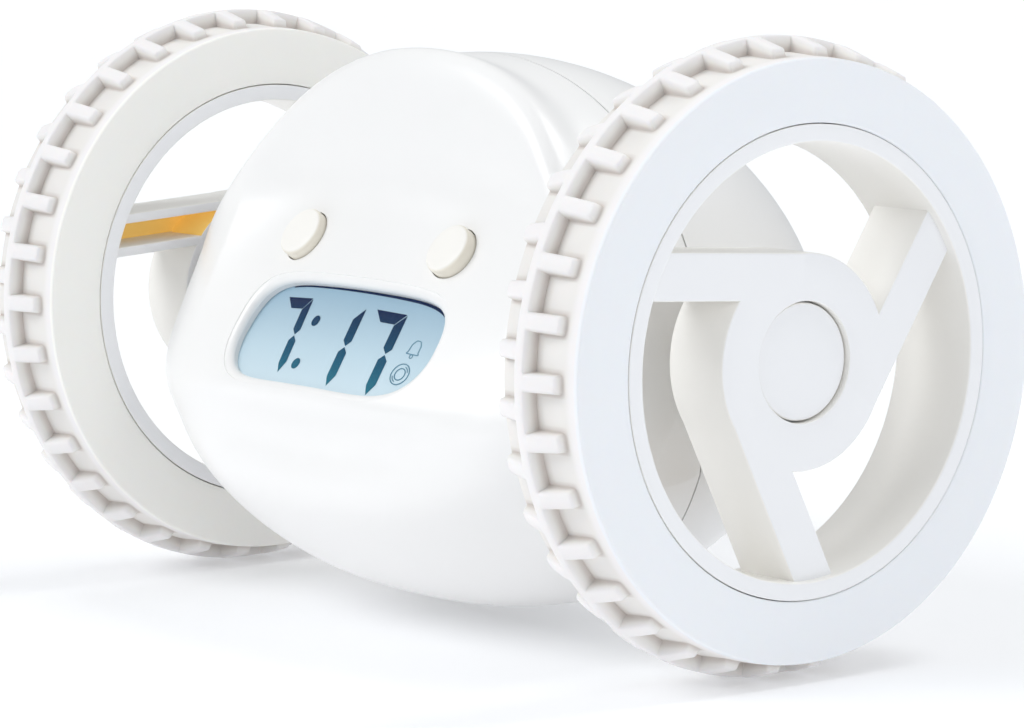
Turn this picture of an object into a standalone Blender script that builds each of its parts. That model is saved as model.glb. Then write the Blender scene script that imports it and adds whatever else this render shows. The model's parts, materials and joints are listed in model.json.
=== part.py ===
"""Rolling alarm clock: drum shaped body with a slanted face, between two large driven wheels.

Units below are millimetres; make() writes metres.  X runs along the wheel axle (+X is the
right-hand wheel), the face looks along -Y, Z is up and the floor is z = 0.  Points are given
from the middle of the body; make() moves them so that x = 0 lies midway between the wheels'
outer faces.
"""
import math
import bpy
import bmesh
from mathutils import Vector

for obj in list(bpy.data.objects):
    bpy.data.objects.remove(obj, do_unlink=True)

MM = 0.001
GAP = 0.3                  # clearance between touching pieces

# ---------------------------------------------------------------- driving dimensions
WHEEL_R = 44.5             # over the tread
AXLE_Z = WHEEL_R
RIB_X = 63.6               # rib round each tyre, measured from the middle of the body
TYRE_PLUS, TYRE_MINUS = 8.9, 6.1       # both tyres reach this far from the rib towards +X and -X
FACE_X = {1: RIB_X + TYRE_PLUS, -1: RIB_X + TYRE_MINUS}     # outer face of each wheel, from the body's middle
MID_X = (FACE_X[1] - FACE_X[-1]) / 2   # x = 0 of the model lies midway between the outer faces
SEAM_R = 32.75             # joint between rim and tyre
WALL_R = 41.55             # outer edge of the flat side wall
FLOOR_R, FLOOR_END = 42.3, 41.9        # floor of the tread pockets, at the rib and past the bars
RIB_HALF = 1.05            # half width of the rib
BAR_PLUS, BAR_MINUS = 6.05, 5.85       # how far the tread bars reach from the middle of the rib
BAR_END_R = 43.05          # height of a bar at its outer end
BARS = 34                  # bars in each of the two staggered rows
BAR_DEG = 3.54             # angular width of one bar

RIM_LIP_R = 30.3           # inner edge of the rim lip
RIM_DEPTH = 15.0
RIM_PHASE = {1: math.radians(-3.5), -1: math.radians(4.0)}
BOSS_R = 15.1              # raised centre of the wheel
BOSS_DEPTH = 11.0
CAP_R = 8.3                # hub cap
SPOKE_LO, SPOKE_HI = 8.4, 15.0
FACE_RECESS = 1.5          # spokes and boss sit this far behind the lip
SKIN = 1.5                 # moulded wall of rim and spokes
WEB = 2.4                  # outer web of a spoke

BODY_Z = 43.4              # middle of the drum
BODY_R = 41.34
BODY_HALF = 49.5           # drum end faces at +-X
SHELL = 1.6                # wall of the two shells
FACE_TILT = math.radians(25.6)         # slope of the whole face, measured at its rim
FACE_S = 27.8              # plane of the face rim to drum axis, at x = 0
FACE_BEND, SAG_MAX = 280.0, 6.3        # sideways curve of the face
FOREHEAD = 5.6             # depth of the hollow forehead
RIM_LIP = 3.96             # swelling of the drum beside the face
GROOVE, GROOVE_DEG, GROOVE_W = 4.2, -24.0, 7.6      # hollow under the face, on the chin
PLATE_TILT = math.radians(36.0)        # display and face buttons lie on this steeper plane
PLATE_S = 24.4             # that plane to drum axis, at x = 0

WINDOW_A, WINDOW_V = 23.4, -16.5
EYE_X, EYE_V, EYE_R = 17.97, -0.8, 4.0
EYE_TRAVEL = 1.0

AXLE_R = 1.5
MODULE = 0.75
T_OUT, T_BIG, T_SMALL, T_PIN = 30, 22, 10, 10
CELL_R, CELL_L = 5.1, 44.0

# ---------------------------------------------------------------- materials
SLOTS = {
    "shell_white": ((0.86, 0.87, 0.88), 0.22, 0.0),
    "wheel_white": ((0.84, 0.85, 0.86), 0.30, 0.0),
    "tread_rubber": ((0.76, 0.73, 0.71), 0.62, 0.0),
    "button_cream": ((0.88, 0.84, 0.72), 0.38, 0.0),
    "clear_window": ((0.90, 0.95, 0.98), 0.05, 0.0),
    "display": ((0.55, 0.74, 0.84), 0.20, 0.0),
    "board_green": ((0.05, 0.28, 0.12), 0.45, 0.0),
    "black_plastic": ((0.03, 0.03, 0.035), 0.45, 0.0),
    "gear_nylon": ((0.80, 0.79, 0.74), 0.42, 0.0),
    "steel": ((0.62, 0.62, 0.63), 0.28, 1.0),
    "brass": ((0.74, 0.57, 0.28), 0.30, 1.0),
    "cell_can": ((0.12, 0.30, 0.55), 0.30, 0.6),
    "amber_guide": ((0.85, 0.55, 0.15), 0.35, 0.0),
}


def material(name, slot):
    rgb, rough, metal = SLOTS[slot]
    m = bpy.data.materials.new(name + "_" + slot)
    m.use_nodes = True
    b = m.node_tree.nodes["Principled BSDF"]
    b.inputs["Base Color"].default_value = (*rgb, 1.0)
    b.inputs["Roughness"].default_value = rough
    b.inputs["Metallic"].default_value = metal
    return m


def make(name, verts, faces, slot, origin=(0.0, 0.0, 0.0), smooth=False):
    """One closed solid from points in mm from the body's middle, with its origin at the given point."""
    o = Vector(origin)
    me = bpy.data.meshes.new(name)
    me.from_pydata([tuple((Vector(v) - o) * MM) for v in verts], [], faces)
    bm = bmesh.new()
    bm.from_mesh(me)
    bmesh.ops.remove_doubles(bm, verts=bm.verts, dist=1e-7)
    bmesh.ops.recalc_face_normals(bm, faces=bm.faces)
    bm.to_mesh(me)
    bm.free()
    ob = bpy.data.objects.new(name, me)
    ob.location = (o - Vector((MID_X, 0, 0))) * MM
    bpy.context.scene.collection.objects.link(ob)
    me.materials.append(material(name, slot))
    if smooth:
        me.polygons.foreach_set("use_smooth", [True] * len(me.polygons))
        me.set_sharp_from_angle(angle=math.radians(32))
    return ob


# ---------------------------------------------------------------- mesh builders
def rings(loops, closed_u=False, caps=True):
    """Skin a list of equal point loops into a closed surface."""
    n = len(loops[0])
    verts = [p for lp in loops for p in lp]
    faces = []
    count = len(loops)
    for i in range(count if closed_u else count - 1):
        a, b = i * n, ((i + 1) % count) * n
        for j in range(n):
            k = (j + 1) % n
            faces.append((a + j, a + k, b + k, b + j))
    if caps and not closed_u:
        faces.append(tuple(range(n))[::-1])
        faces.append(tuple(range((count - 1) * n, count * n)))
    return verts, faces


def disc_stack(steps, y, z, n=24, phase=0.0):
    """Solid of revolution about an X axis from (x, r) steps with r > 0."""
    loops = []
    for x, r in steps:
        loops.append([(x, y + r * math.cos(phase + 2 * math.pi * j / n),
                       z + r * math.sin(phase + 2 * math.pi * j / n)) for j in range(n)])
    return rings(loops)


def lathe_ring(profile, y, z, n=48, phase=0.0):
    """Closed (x, r) profile turned all the way round an X axis."""
    loops = []
    for j in range(n):
        a = phase + 2 * math.pi * j / n
        loops.append([(x, y + r * math.cos(a), z + r * math.sin(a)) for x, r in profile])
    return rings(loops, closed_u=True)


def frame_of(axis):
    w = Vector(axis).normalized()
    u = Vector((1, 0, 0)) if abs(w.x) < 0.9 else Vector((0, 1, 0))
    v = w.cross(u).normalized()
    return v.cross(w).normalized(), v, w


def post(centre, axis, steps, n=20, sides=None, phase=0.0):
    """Stepped round solid along any axis: steps are (distance, radius)."""
    u, v, w = frame_of(axis)
    c = Vector(centre)
    loops = []
    for d, r in steps:
        loops.append([tuple(c + w * d + u * (r * math.cos(phase + 2 * math.pi * j / n))
                            + v * (r * math.sin(phase + 2 * math.pi * j / n))) for j in range(n)])
    return rings(loops)


def block(lo, hi, bevel=0.0, taper=0.0):
    """Box with its upright edges cut back by bevel (mm), built as rounded-corner loops along Z."""
    x0, y0, z0 = lo
    x1, y1, z1 = hi
    if bevel <= 0:
        pts = [(x0, y0), (x1, y0), (x1, y1), (x0, y1)]
    else:
        pts = []
        for cx, cy, a0 in ((x1 - bevel, y1 - bevel, 0), (x0 + bevel, y1 - bevel, 90),
                           (x0 + bevel, y0 + bevel, 180), (x1 - bevel, y0 + bevel, 270)):
            for k in range(4):
                a = math.radians(a0 + 30 * k)
                pts.append((cx + bevel * math.cos(a), cy + bevel * math.sin(a)))
    return rings([[(x, y, z0) for x, y in pts], [(x, y, z1) for x, y in pts]])


def prism_x(poly, x0, x1):
    """Polygon in (y, z) pushed along X."""
    return rings([[(x0, y, z) for y, z in poly], [(x1, y, z) for y, z in poly]])


def zipper(outer, inner):
    """Triangles between two closed loops given as (index, angle) lists, both counter-clockwise."""
    o = sorted(outer, key=lambda q: q[1] % (2 * math.pi))
    i = sorted(inner, key=lambda q: q[1] % (2 * math.pi))
    faces = []
    a = b = 0
    na, nb = len(o), len(i)
    ang = lambda seq, k: seq[k % len(seq)][1] % (2 * math.pi) + 2 * math.pi * (k // len(seq))
    while a < na or b < nb:
        if b >= nb or (a < na and ang(o, a + 1) <= ang(i, b + 1)):
            faces.append((o[a % na][0], o[(a + 1) % na][0], i[b % nb][0]))
            a += 1
        else:
            faces.append((o[a % na][0], i[(b + 1) % nb][0], i[b % nb][0]))
            b += 1
    return faces


def gear(teeth, module, x0, x1, y, z, phase, bore, backlash=0.16, nb=20):
    """Spur gear about an X axis: trapezoid teeth and a round bore."""
    rp = module * teeth / 2
    ra, rf = rp + 0.86 * module, rp - 1.25 * module
    pitch = 2 * math.pi / teeth
    half = math.pi / teeth / 2 - backlash / rp / 2
    outer = []
    for k in range(teeth):
        c = phase + k * pitch
        outer += [(rf, c - half * 1.32), (ra, c - half * 0.5), (ra, c + half * 0.5), (rf, c + half * 1.32)]
    n = len(outer)
    bore = bore / math.cos(math.pi / nb)
    inner = [(bore, phase + 2 * math.pi * j / nb) for j in range(nb)]
    verts = []
    for x in (x0, x1):
        verts += [(x, y + r * math.cos(a), z + r * math.sin(a)) for r, a in outer + inner]
    m = n + nb
    f = []
    for j in range(n):
        f.append((j, (j + 1) % n, m + (j + 1) % n, m + j))
    for j in range(nb):
        f.append((n + j, m + n + j, m + n + (j + 1) % nb, n + (j + 1) % nb))
    cap = zipper([(j, outer[j][1]) for j in range(n)], [(n + j, inner[j][1]) for j in range(nb)])
    f += cap
    f += [(c + m, b + m, a + m) for a, b, c in cap]
    return verts, f


def mirror_x(vf):
    v, f = vf
    return [(-x, y, z) for x, y, z in v], [tuple(reversed(q)) for q in f]


def boolean(target, cutter, op, solver="EXACT"):
    """Apply one Boolean and drop the cutter."""
    mod = target.modifiers.new("cut", "BOOLEAN")
    mod.operation = op
    mod.solver = solver
    mod.object = cutter
    dg = bpy.context.evaluated_depsgraph_get()
    dg.update()
    me = bpy.data.meshes.new_from_object(target.evaluated_get(dg))
    target.modifiers.remove(mod)
    old = target.data
    target.data = me
    bpy.data.meshes.remove(old)
    bpy.data.objects.remove(cutter, do_unlink=True)


def tool(vf):
    ob = make("cutter", *vf, "black_plastic")
    bpy.context.view_layer.update()
    return ob


# ---------------------------------------------------------------- body surface
P_N = (0.0, -math.cos(PLATE_TILT), math.sin(PLATE_TILT))    # outward normal of the display plane
P_V = (0.0, math.sin(PLATE_TILT), math.cos(PLATE_TILT))     # up that plane


def sag(x):
    """How far the face falls back at x because of its sideways curve."""
    return SAG_MAX * (1 - math.exp(-x * x / (FACE_BEND * SAG_MAX)))


def face_point(x, v, s):
    return (x, P_N[1] * s + P_V[1] * v, BODY_Z + P_N[2] * s + P_V[2] * v)


def step01(t):
    t = min(max(t, 0.0), 1.0)
    return t * t * (3 - 2 * t)


def dish(x, v):
    """Depth below the face rim plane: the steeper display plane, then the hollow forehead above it."""
    a = (2.99 + 0.1835 * v) * step01((v + 29.0) / 8.0)
    b = FOREHEAD * 0.5 * (1 + math.cos(math.pi * min(max((v - 6.0) / 26.0, 0.0), 1.0)))
    h = min(max(0.5 + 0.5 * (b - a) / 1.2, 0.0), 1.0)
    d = b * (1 - h) + a * h - 1.2 * h * (1 - h)
    return d * max(1 - (abs(x) / 37.0) ** 4, 0.0)


def body_r(x, th):
    """Drum surface as a distance from its axis. th = 0 looks forward, 90 degrees is up."""
    co, si = math.cos(th), math.sin(th)
    ax = abs(x)
    deg = math.degrees(th)
    wf = (max(0, co) ** 2) ** 0.6
    wd = (max(0, -si) ** 2) ** 1.6
    wb, wu = max(0, -co) ** 2, max(0, si) ** 2
    tot = wf + wd + wb + wu
    n = (wf * 2.42 + wb * 2.5 + wu * 2.06 + wd * 2.38) / tot
    c = (wf * 56.42 + wb * 53.0 + wu * 49.71 + wd * 52.04) / tot
    r = BODY_R * max(1 - (ax / c) ** n, 0.001) ** (1 / n)
    r -= 0.36 * max(si, 0) ** 4 + 3.28 * math.exp(-((deg - 60) / 22.0) ** 2) * (ax / 36.0) ** 2
    r = (max(r, 0.0) ** 8 + 12.0 ** 8) ** 0.125
    ca = math.cos(th - FACE_TILT)
    if ca > 0.05:
        s = (FACE_S - sag(x)) * max(1 - (ax / 52.1) ** 10, 0.05) ** 0.25
        d0 = s / ca
        rise = step01(si / 0.45)
        lip = RIM_LIP * rise * max(1 - (ax / 47.0) ** 6, 0.0) * math.exp(-((r - d0) / 5.0) ** 2)
        brow = 1.95 * math.exp(-((deg - 68) / 28.0) ** 2) * math.exp(-((r - d0) / 4.0) ** 2)
        fade = 1 - math.exp(-((r - d0) / 6.0) ** 2)
        d = d0
        for _ in range(5):
            d = (s - dish(x, d * math.sin(th - FACE_TILT)) * fade) / ca
        d += brow / max(ca, 0.3)
        q = 21.0
        r = ((r + lip) ** -q + d ** -q) ** (-1 / q)
    return r - GROOVE * math.exp(-((deg - GROOVE_DEG) / GROOVE_W) ** 2) * max(1 - (ax / 43.0) ** 2.2, 0.0)


def half_shell(th0, th1, steps, stations, dy, wall=SHELL):
    """Half of the hollow drum between two angles, moved along Y by dy."""
    xe, hole = BODY_HALF, 3.6
    xi = xe - wall

    def bore(th):
        e = AXLE_Z - BODY_Z
        along = e * math.sin(th)
        return along + math.sqrt(hole * hole - (e * e - along * along))

    loops = []
    for i in range(steps + 1):
        th = th0 + (th1 - th0) * i / steps
        prof = []
        for j in range(stations + 1):
            x = -xe * math.cos(math.pi * j / stations)
            prof.append((x, body_r(x, th)))
        prof.append((xe, bore(th)))
        prof.append((xi, bore(th)))
        for j in range(stations + 1):
            x = xi * math.cos(math.pi * j / stations)
            prof.append((x, max(body_r(x * (xe + 0.6) / xi, th) - wall, bore(th) + 1.0)))
        prof.append((-xi, bore(th)))
        prof.append((-xe, bore(th)))
        loops.append([(x, dy - r * math.cos(th), BODY_Z + r * math.sin(th)) for x, r in prof])
    return rings(loops)


def envelope(th0, th1, dy, steps=24, stations=14, inset=0.4):
    """Solid half drum just inside the outer surface, used to trim posts and tubes."""
    loops = []
    for j in range(stations + 1):
        x = -(BODY_HALF - inset) * math.cos(math.pi * j / stations)
        lp = []
        for i in range(steps + 1):
            th = th0 + (th1 - th0) * i / steps
            r = body_r(x, th) - inset
            lp.append((x, dy - r * math.cos(th), BODY_Z + r * math.sin(th)))
        loops.append(lp)
    return rings(loops)


def window_outline(x, grow=0.0):
    """Top and bottom edge (v) of the display opening at x."""
    a = WINDOW_A + grow
    u = min(abs(x) / a, 1.0)
    top = WINDOW_V + (7.6 + grow) * (1 - u ** 8) ** (1 / 3)
    bot = WINDOW_V - (9.3 + grow) * (1 - u ** 4) ** (1 / 1.8)
    return top, bot


def window_prism(grow, s0, s1, stations=20):
    """Straight prism with the outline of the display opening."""
    pts_t, pts_b = [], []
    for j in range(stations + 1):
        x = -(WINDOW_A + grow) * math.cos(math.pi * j / stations)
        t, b = window_outline(x, grow)
        pts_t.append((x, t))
        if 0 < j < stations:
            pts_b.append((x, b))
    poly = pts_t + pts_b[::-1]
    return rings([[face_point(x, v, s) for x, v in poly] for s in (s0, s1)])


def bent_plate(grow_x, v_top, v_bot, s_front, thick, stations=12, power=5.0):
    """Plate that follows the sideways bend of the face, with rounded ends."""
    a = WINDOW_A + grow_x
    mid, hh = (v_top + v_bot) / 2, (v_top - v_bot) / 2
    loops = []
    for j in range(stations + 1):
        u = -math.cos(math.pi * j / stations)
        x = a * u
        h = hh * max(1 - abs(u) ** power, 0.10) ** (1 / power)
        s = s_front - sag(x)
        loops.append([face_point(x, mid + h, s), face_point(x, mid - h, s),
                      face_point(x, mid - h, s - thick), face_point(x, mid + h, s - thick)])
    return rings(loops)


def window_insert(grow, depth, thick, stations=24):
    """Curved pane with the outline of the display opening, set into it below the surface."""
    loops = []
    for j in range(stations + 1):
        x = -0.995 * (WINDOW_A + grow) * math.cos(math.pi * j / stations)
        t, b = window_outline(x, grow)
        s = PLATE_S - sag(x) - depth
        loops.append([face_point(x, t, s), face_point(x, b, s), face_point(x, b, s - thick), face_point(x, t, s - thick)])
    return rings(loops)


# ---------------------------------------------------------------- shells
front = make("front_shell", *half_shell(-math.pi / 2, math.pi / 2, 40, 16, -GAP / 2), "shell_white", smooth=True)
rear = make("rear_shell", *half_shell(math.pi / 2, 3 * math.pi / 2, 24, 16, GAP / 2), "shell_white", smooth=True)

# screw posts: front posts and rear tubes meet at the parting plane
SCREWS = [(sx * x, z) for x, z in ((28.0, 70.0), (34.0, 15.5)) for sx in (-1, 1)]
for sx, z in SCREWS:
    stud = tool(post((sx, -GAP / 2, z), (0, -1, 0), [(0.0, 3.2), (36.0, 3.2)], 12))
    boolean(stud, tool(envelope(-math.pi / 2, math.pi / 2, -GAP / 2)), "INTERSECT")
    boolean(front, stud, "UNION")
    tube = tool(post((sx, GAP / 2, z), (0, 1, 0), [(0.0, 3.6), (36.0, 3.6)], 12))
    boolean(tube, tool(envelope(math.pi / 2, 3 * math.pi / 2, GAP / 2)), "INTERSECT")
    boolean(rear, tube, "UNION")
for sx, z in SCREWS:
    boolean(front, tool(post((sx, 1.0, z), (0, -1, 0), [(0.0, 1.35), (12.0, 1.35)], 10)), "DIFFERENCE")
    boolean(rear, tool(post((sx, -1.0, z), (0, 1, 0), [(0.0, 1.6), (10.0, 1.6), (10.0, 2.7), (60.0, 2.7)], 10)), "DIFFERENCE")

# display opening and the two button holes in the face
boolean(front, tool(window_prism(0.0, 16.0, 30.0)), "DIFFERENCE")
for sx in (-1, 1):
    boolean(front, tool(post(face_point(sx * EYE_X, EYE_V, 12.0), P_N, [(0.0, EYE_R + 0.25), (24.0, EYE_R + 0.25)], 20)), "DIFFERENCE")

# battery door cut out of the rear shell
DOOR_X, DOOR_LO, DOOR_HI = 24.8, 10.0, 37.0
door = make("battery_door", *half_shell(math.pi + 0.05, math.pi + 1.15, 12, 16, GAP / 2), "shell_white",
            origin=(0, 41.5, DOOR_HI - 0.2), smooth=True)
boolean(door, tool(block((-DOOR_X + GAP, 12.0, DOOR_LO + GAP), (DOOR_X - GAP, 60.0, DOOR_HI - GAP))), "INTERSECT")
boolean(rear, tool(block((-DOOR_X, 12.0, DOOR_LO), (DOOR_X, 60.0, DOOR_HI))), "DIFFERENCE")

# set buttons, mode switch slot and sound holes in the back
SET_Z, SET_R = 53.0, 2.3
SET_X = (-22.0, -12.0, 12.0, 22.0)
for x in SET_X:
    boolean(rear, tool(post((x, 30.0, SET_Z), (0, 1, 0), [(0.0, SET_R + 0.25), (16.0, SET_R + 0.25)], 14)), "DIFFERENCE")
boolean(rear, tool(block((-5.0, 30.0, SET_Z - 1.6), (5.0, 46.0, SET_Z + 1.6))), "DIFFERENCE")
SPEAKER_DIR = (0.0, math.cos(math.radians(42)), math.sin(math.radians(42)))
for k in range(7):
    a = math.pi / 3 * k
    rr = 0.0 if k == 6 else 3.4
    hole = (rr * math.cos(a), 34.0 * SPEAKER_DIR[1] - rr * math.sin(a) * SPEAKER_DIR[2], BODY_Z + 34.0 * SPEAKER_DIR[2] + rr * math.sin(a) * SPEAKER_DIR[1])
    boolean(rear, tool(post(hole, SPEAKER_DIR, [(0.0, 0.8), (12.0, 0.8)], 8)), "DIFFERENCE")

# ---------------------------------------------------------------- display stack
make("display_window", *window_insert(-0.3, 0.8, 0.8), "clear_window", smooth=True)
make("display_panel", *bent_plate(1.0, -8.3, -25.5, PLATE_S - 2.0, 0.9), "display", smooth=True)
make("backlight_plate", *bent_plate(0.4, -8.6, -25.3, PLATE_S - 3.2, 1.6), "amber_guide", smooth=True)

# ---------------------------------------------------------------- face buttons (the two "eyes")
EYE_S = PLATE_S - sag(EYE_X)
for sx, name in ((-1, "snooze_button"), (1, "light_button")):
    c = face_point(sx * EYE_X, EYE_V, 0.0)
    top = EYE_S + 2.1
    steps = [(EYE_S - 6.6, 1.6), (EYE_S - 4.6, 1.6), (EYE_S - 4.6, 5.2), (EYE_S - 3.9, 5.2), (EYE_S - 3.9, EYE_R),
             (top - 0.7, EYE_R), (top - 0.2, EYE_R - 0.25), (top, EYE_R - 0.8)]
    make(name, *post(c, P_N, steps, 24), "button_cream", origin=face_point(sx * EYE_X, EYE_V, EYE_S), smooth=True)
    sw = "snooze_switch" if sx < 0 else "light_switch"
    make(sw, *post(c, P_N, [(EYE_S - 11.2, 3.0), (EYE_S - 8.9, 3.0), (EYE_S - 8.9, 1.5), (EYE_S - 7.9, 1.5)], 12), "black_plastic", smooth=True)
bx, bv, bs = 24.5, 4.5, EYE_S - 11.2 - GAP
board = [(-bx, EYE_V - bv), (bx, EYE_V - bv), (bx, EYE_V + bv), (-bx, EYE_V + bv)]
make("button_board", *rings([[face_point(x, v, s) for x, v in board] for s in (bs - 1.2, bs)]), "board_green")

# ---------------------------------------------------------------- electronics
make("main_board", *block((-24.0, -10.4, 23.0), (24.0, -9.0, 43.5)), "board_green")
flex = [(-23.9, 42.6), (-20.6, 40.4), (-10.7, 39.6)]
make("display_ribbon", *prism_x([*flex, *[(y, z - 0.45) for y, z in flex[::-1]]], -9.0, 9.0), "amber_guide")
make("rear_board", *block((-26.5, 30.2, 46.8), (26.5, 31.6, 59.2)), "board_green")
make("speaker", *post((0, 0, BODY_Z), SPEAKER_DIR, [(30.6, 4.6), (33.4, 4.6), (33.4, 6.6), (37.4, 6.6)], 20), "black_plastic", smooth=True)

# ---------------------------------------------------------------- rear controls
for x, name in zip(SET_X, ("hour_button", "minute_button", "time_button", "alarm_button")):
    yw = math.sqrt(body_r(x, math.pi) ** 2 - (SET_Z - BODY_Z) ** 2)
    steps = [(32.9, SET_R - 0.7), (32.9, SET_R + 0.8), (33.6, SET_R + 0.8), (33.6, SET_R), (yw + 0.7, SET_R), (yw + 1.1, SET_R - 0.5)]
    make(name, *post((x, 0, SET_Z), (0, 1, 0), steps, 16), "button_cream", origin=(x, yw, SET_Z), smooth=True)
yw = math.sqrt(body_r(0, math.pi) ** 2 - (SET_Z - BODY_Z) ** 2)
SW_TRAVEL = 3.6
make("mode_switch_knob", *block((-3.1, 34.9, SET_Z - 1.3), (-0.5, yw + 1.0, SET_Z + 1.3), 0.4), "black_plastic", origin=(-1.8, yw, SET_Z))
make("mode_switch_case", *block((-6.2, 31.9, SET_Z - 2.6), (6.2, 34.6, SET_Z + 2.6)), "steel")

# ---------------------------------------------------------------- battery bay
BAY_TILT = math.radians(57.0)          # the bay looks back and down


def bay(rho, off):
    """(y, z) at a distance out from the drum axis and a distance across the bay."""
    return (rho * math.sin(BAY_TILT) + off * math.cos(BAY_TILT), BODY_Z - rho * math.cos(BAY_TILT) + off * math.sin(BAY_TILT))


for k, (rho, off) in enumerate(((30.5, -5.4), (30.5, 5.4), (19.7, -5.4), (19.7, 5.4))):
    y, z = bay(rho, off)
    s = 1 if k in (0, 3) else -1
    h = CELL_L / 2
    steps = [(-h, CELL_R), (h - 0.9, CELL_R), (h - 0.9, 1.9), (h, 1.9)]
    make("battery_cell_%d" % (k + 1), *post((0, y, z), (s, 0, 0), steps, 16), "cell_can", smooth=True)
tray = make("battery_tray", *prism_x([bay(13.0, -12.0), bay(34.2, -12.0), bay(34.2, 12.0), bay(13.0, 12.0)], -24.2, 24.2), "black_plastic")
boolean(tray, tool(prism_x([bay(14.0, -10.9), bay(40.0, -10.9), bay(40.0, 10.9), bay(14.0, 10.9)], -23.2, 23.2)), "DIFFERENCE")
for sx, name in ((-1, "battery_contact_left"), (1, "battery_contact_right")):
    x0, x1 = sorted((sx * 22.45, sx * 22.85))
    make(name, *prism_x([bay(15.5, -9.5), bay(33.5, -9.5), bay(33.5, 9.5), bay(15.5, 9.5)], x0, x1), "steel")

for k, (sx, z) in enumerate(SCREWS):
    make("shell_screw_%d" % (k + 1), *post((sx, 0, z), (0, 1, 0), [(-9.0, 0.5), (-8.0, 1.15), (9.4, 1.15), (9.4, 2.3), (10.6, 2.3), (10.9, 1.6)], 12), "steel", smooth=True)

# ---------------------------------------------------------------- drive trains
CD_OUT = MODULE * (T_OUT + T_SMALL) / 2
CD_PIN = MODULE * (T_BIG + T_PIN) / 2
A1, A2 = math.radians(238.0), math.radians(218.0)
COMP = (CD_OUT * math.cos(A1), AXLE_Z + CD_OUT * math.sin(A1))
PIN = (COMP[0] + CD_PIN * math.cos(A2), COMP[1] + CD_PIN * math.sin(A2))
PH_OUT = A1
PH_SMALL = A1 + math.pi + math.pi / T_SMALL
PH_BIG = A2
PH_PIN = A2 + math.pi + math.pi / T_PIN


def tyre(rib_x):
    """Tyre with a rib and two staggered rows of cross bars that slope down from it."""
    half = math.radians(BAR_DEG / 2)
    pitch = 2 * math.pi / BARS
    top_r = WHEEL_R / math.cos(half)
    end_r = BAR_END_R / math.cos(half)
    verts, faces, seen = [], [], {}

    def vert(x, r, a):
        p = (rib_x + x, r * math.cos(a), AXLE_Z + r * math.sin(a))
        key = tuple(round(q, 5) for q in p)
        if key not in seen:
            seen[key] = len(verts)
            verts.append(p)
        return seen[key]

    wall = {}
    for row, w, tx in ((1, TYRE_PLUS, BAR_PLUS), (-1, TYRE_MINUS, BAR_MINUS)):
        wall[row] = []
        for k in range(BARS):
            c = -math.pi / 2 + pitch * (k if row < 0 else k + 0.5)
            lo, hi, nxt = c - half, c + half, c + pitch - half
            mid_lo, mid_hi = c + pitch / 2 - half, c + pitch / 2 + half

            def quad(*pts):
                f = [vert(row * x, r, a) for x, r, a in pts]
                faces.append(tuple(f if row > 0 else f[::-1]))

            bx = RIB_HALF
            quad((bx, top_r, lo), (tx, end_r, lo), (tx, end_r, hi), (bx, top_r, hi))
            quad((tx, end_r, lo), (tx, FLOOR_END, lo), (tx, FLOOR_END, hi), (tx, end_r, hi))
            quad((bx, top_r, hi), (tx, end_r, hi), (tx, FLOOR_END, hi), (bx, FLOOR_R, hi))
            quad((bx, top_r, lo), (bx, FLOOR_R, lo), (tx, FLOOR_END, lo), (tx, end_r, lo))
            quad((bx, top_r, hi), (bx, FLOOR_R, hi), (bx, FLOOR_R, nxt), (bx, top_r, nxt), (bx, top_r, mid_hi), (bx, top_r, mid_lo))
            quad((bx, FLOOR_R, hi), (tx, FLOOR_END, hi), (tx, FLOOR_END, nxt), (bx, FLOOR_R, nxt))
            for p, q in ((lo, hi), (hi, nxt)):
                quad((tx, FLOOR_END, p), (w, WALL_R, p), (w, WALL_R, q), (tx, FLOOR_END, q))
                wall[row].append((vert(row * w, WALL_R, p), p))
    for k in range(2 * BARS):
        c = -math.pi / 2 + pitch / 2 * k
        for p, q in ((c - half, c + half), (c + half, c + pitch / 2 - half)):
            faces.append((vert(-RIB_HALF, top_r, p), vert(RIB_HALF, top_r, p), vert(RIB_HALF, top_r, q), vert(-RIB_HALF, top_r, q)))
    bead = (SEAM_R + 0.15) / math.cos(pitch / 2)
    ins = {row: [(vert(row * w, bead, -math.pi / 2 + pitch * (k + 0.25)), -math.pi / 2 + pitch * (k + 0.25)) for k in range(BARS)]
           for row, w in ((1, TYRE_PLUS), (-1, TYRE_MINUS))}
    faces += zipper(wall[1], ins[1])
    faces += [t[::-1] for t in zipper(wall[-1], ins[-1])]
    for k in range(BARS):
        faces.append((ins[1][k][0], ins[-1][k][0], ins[-1][(k + 1) % BARS][0], ins[1][(k + 1) % BARS][0]))
    return verts, faces


def rim_parts(f):
    """Rim ring with a turned-in lip and a hollow boss; f is the outer face of the wheel."""
    ring = lathe_ring([(f, RIM_LIP_R), (f, SEAM_R - 0.5), (f - 0.4, SEAM_R - 0.15), (f - RIM_DEPTH, SEAM_R - 0.15),
                       (f - RIM_DEPTH, RIM_LIP_R)], 0, AXLE_Z, 56)
    boss = lathe_ring([(f - FACE_RECESS, CAP_R + 0.15), (f - FACE_RECESS, BOSS_R - 0.3), (f - FACE_RECESS - 0.3, BOSS_R),
                       (f - FACE_RECESS - BOSS_DEPTH, BOSS_R), (f - FACE_RECESS - BOSS_DEPTH, BOSS_R - SKIN),
                       (f - FACE_RECESS - 4.2, BOSS_R - SKIN), (f - FACE_RECESS - 4.2, 3.8),
                       (f - 15.5, 3.8), (f - 15.5, AXLE_R + 0.05), (f - FACE_RECESS - 2.5, AXLE_R + 0.05),
                       (f - FACE_RECESS - 2.5, CAP_R + 0.15)], 0, AXLE_Z, 36)
    return ring, boss


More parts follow.
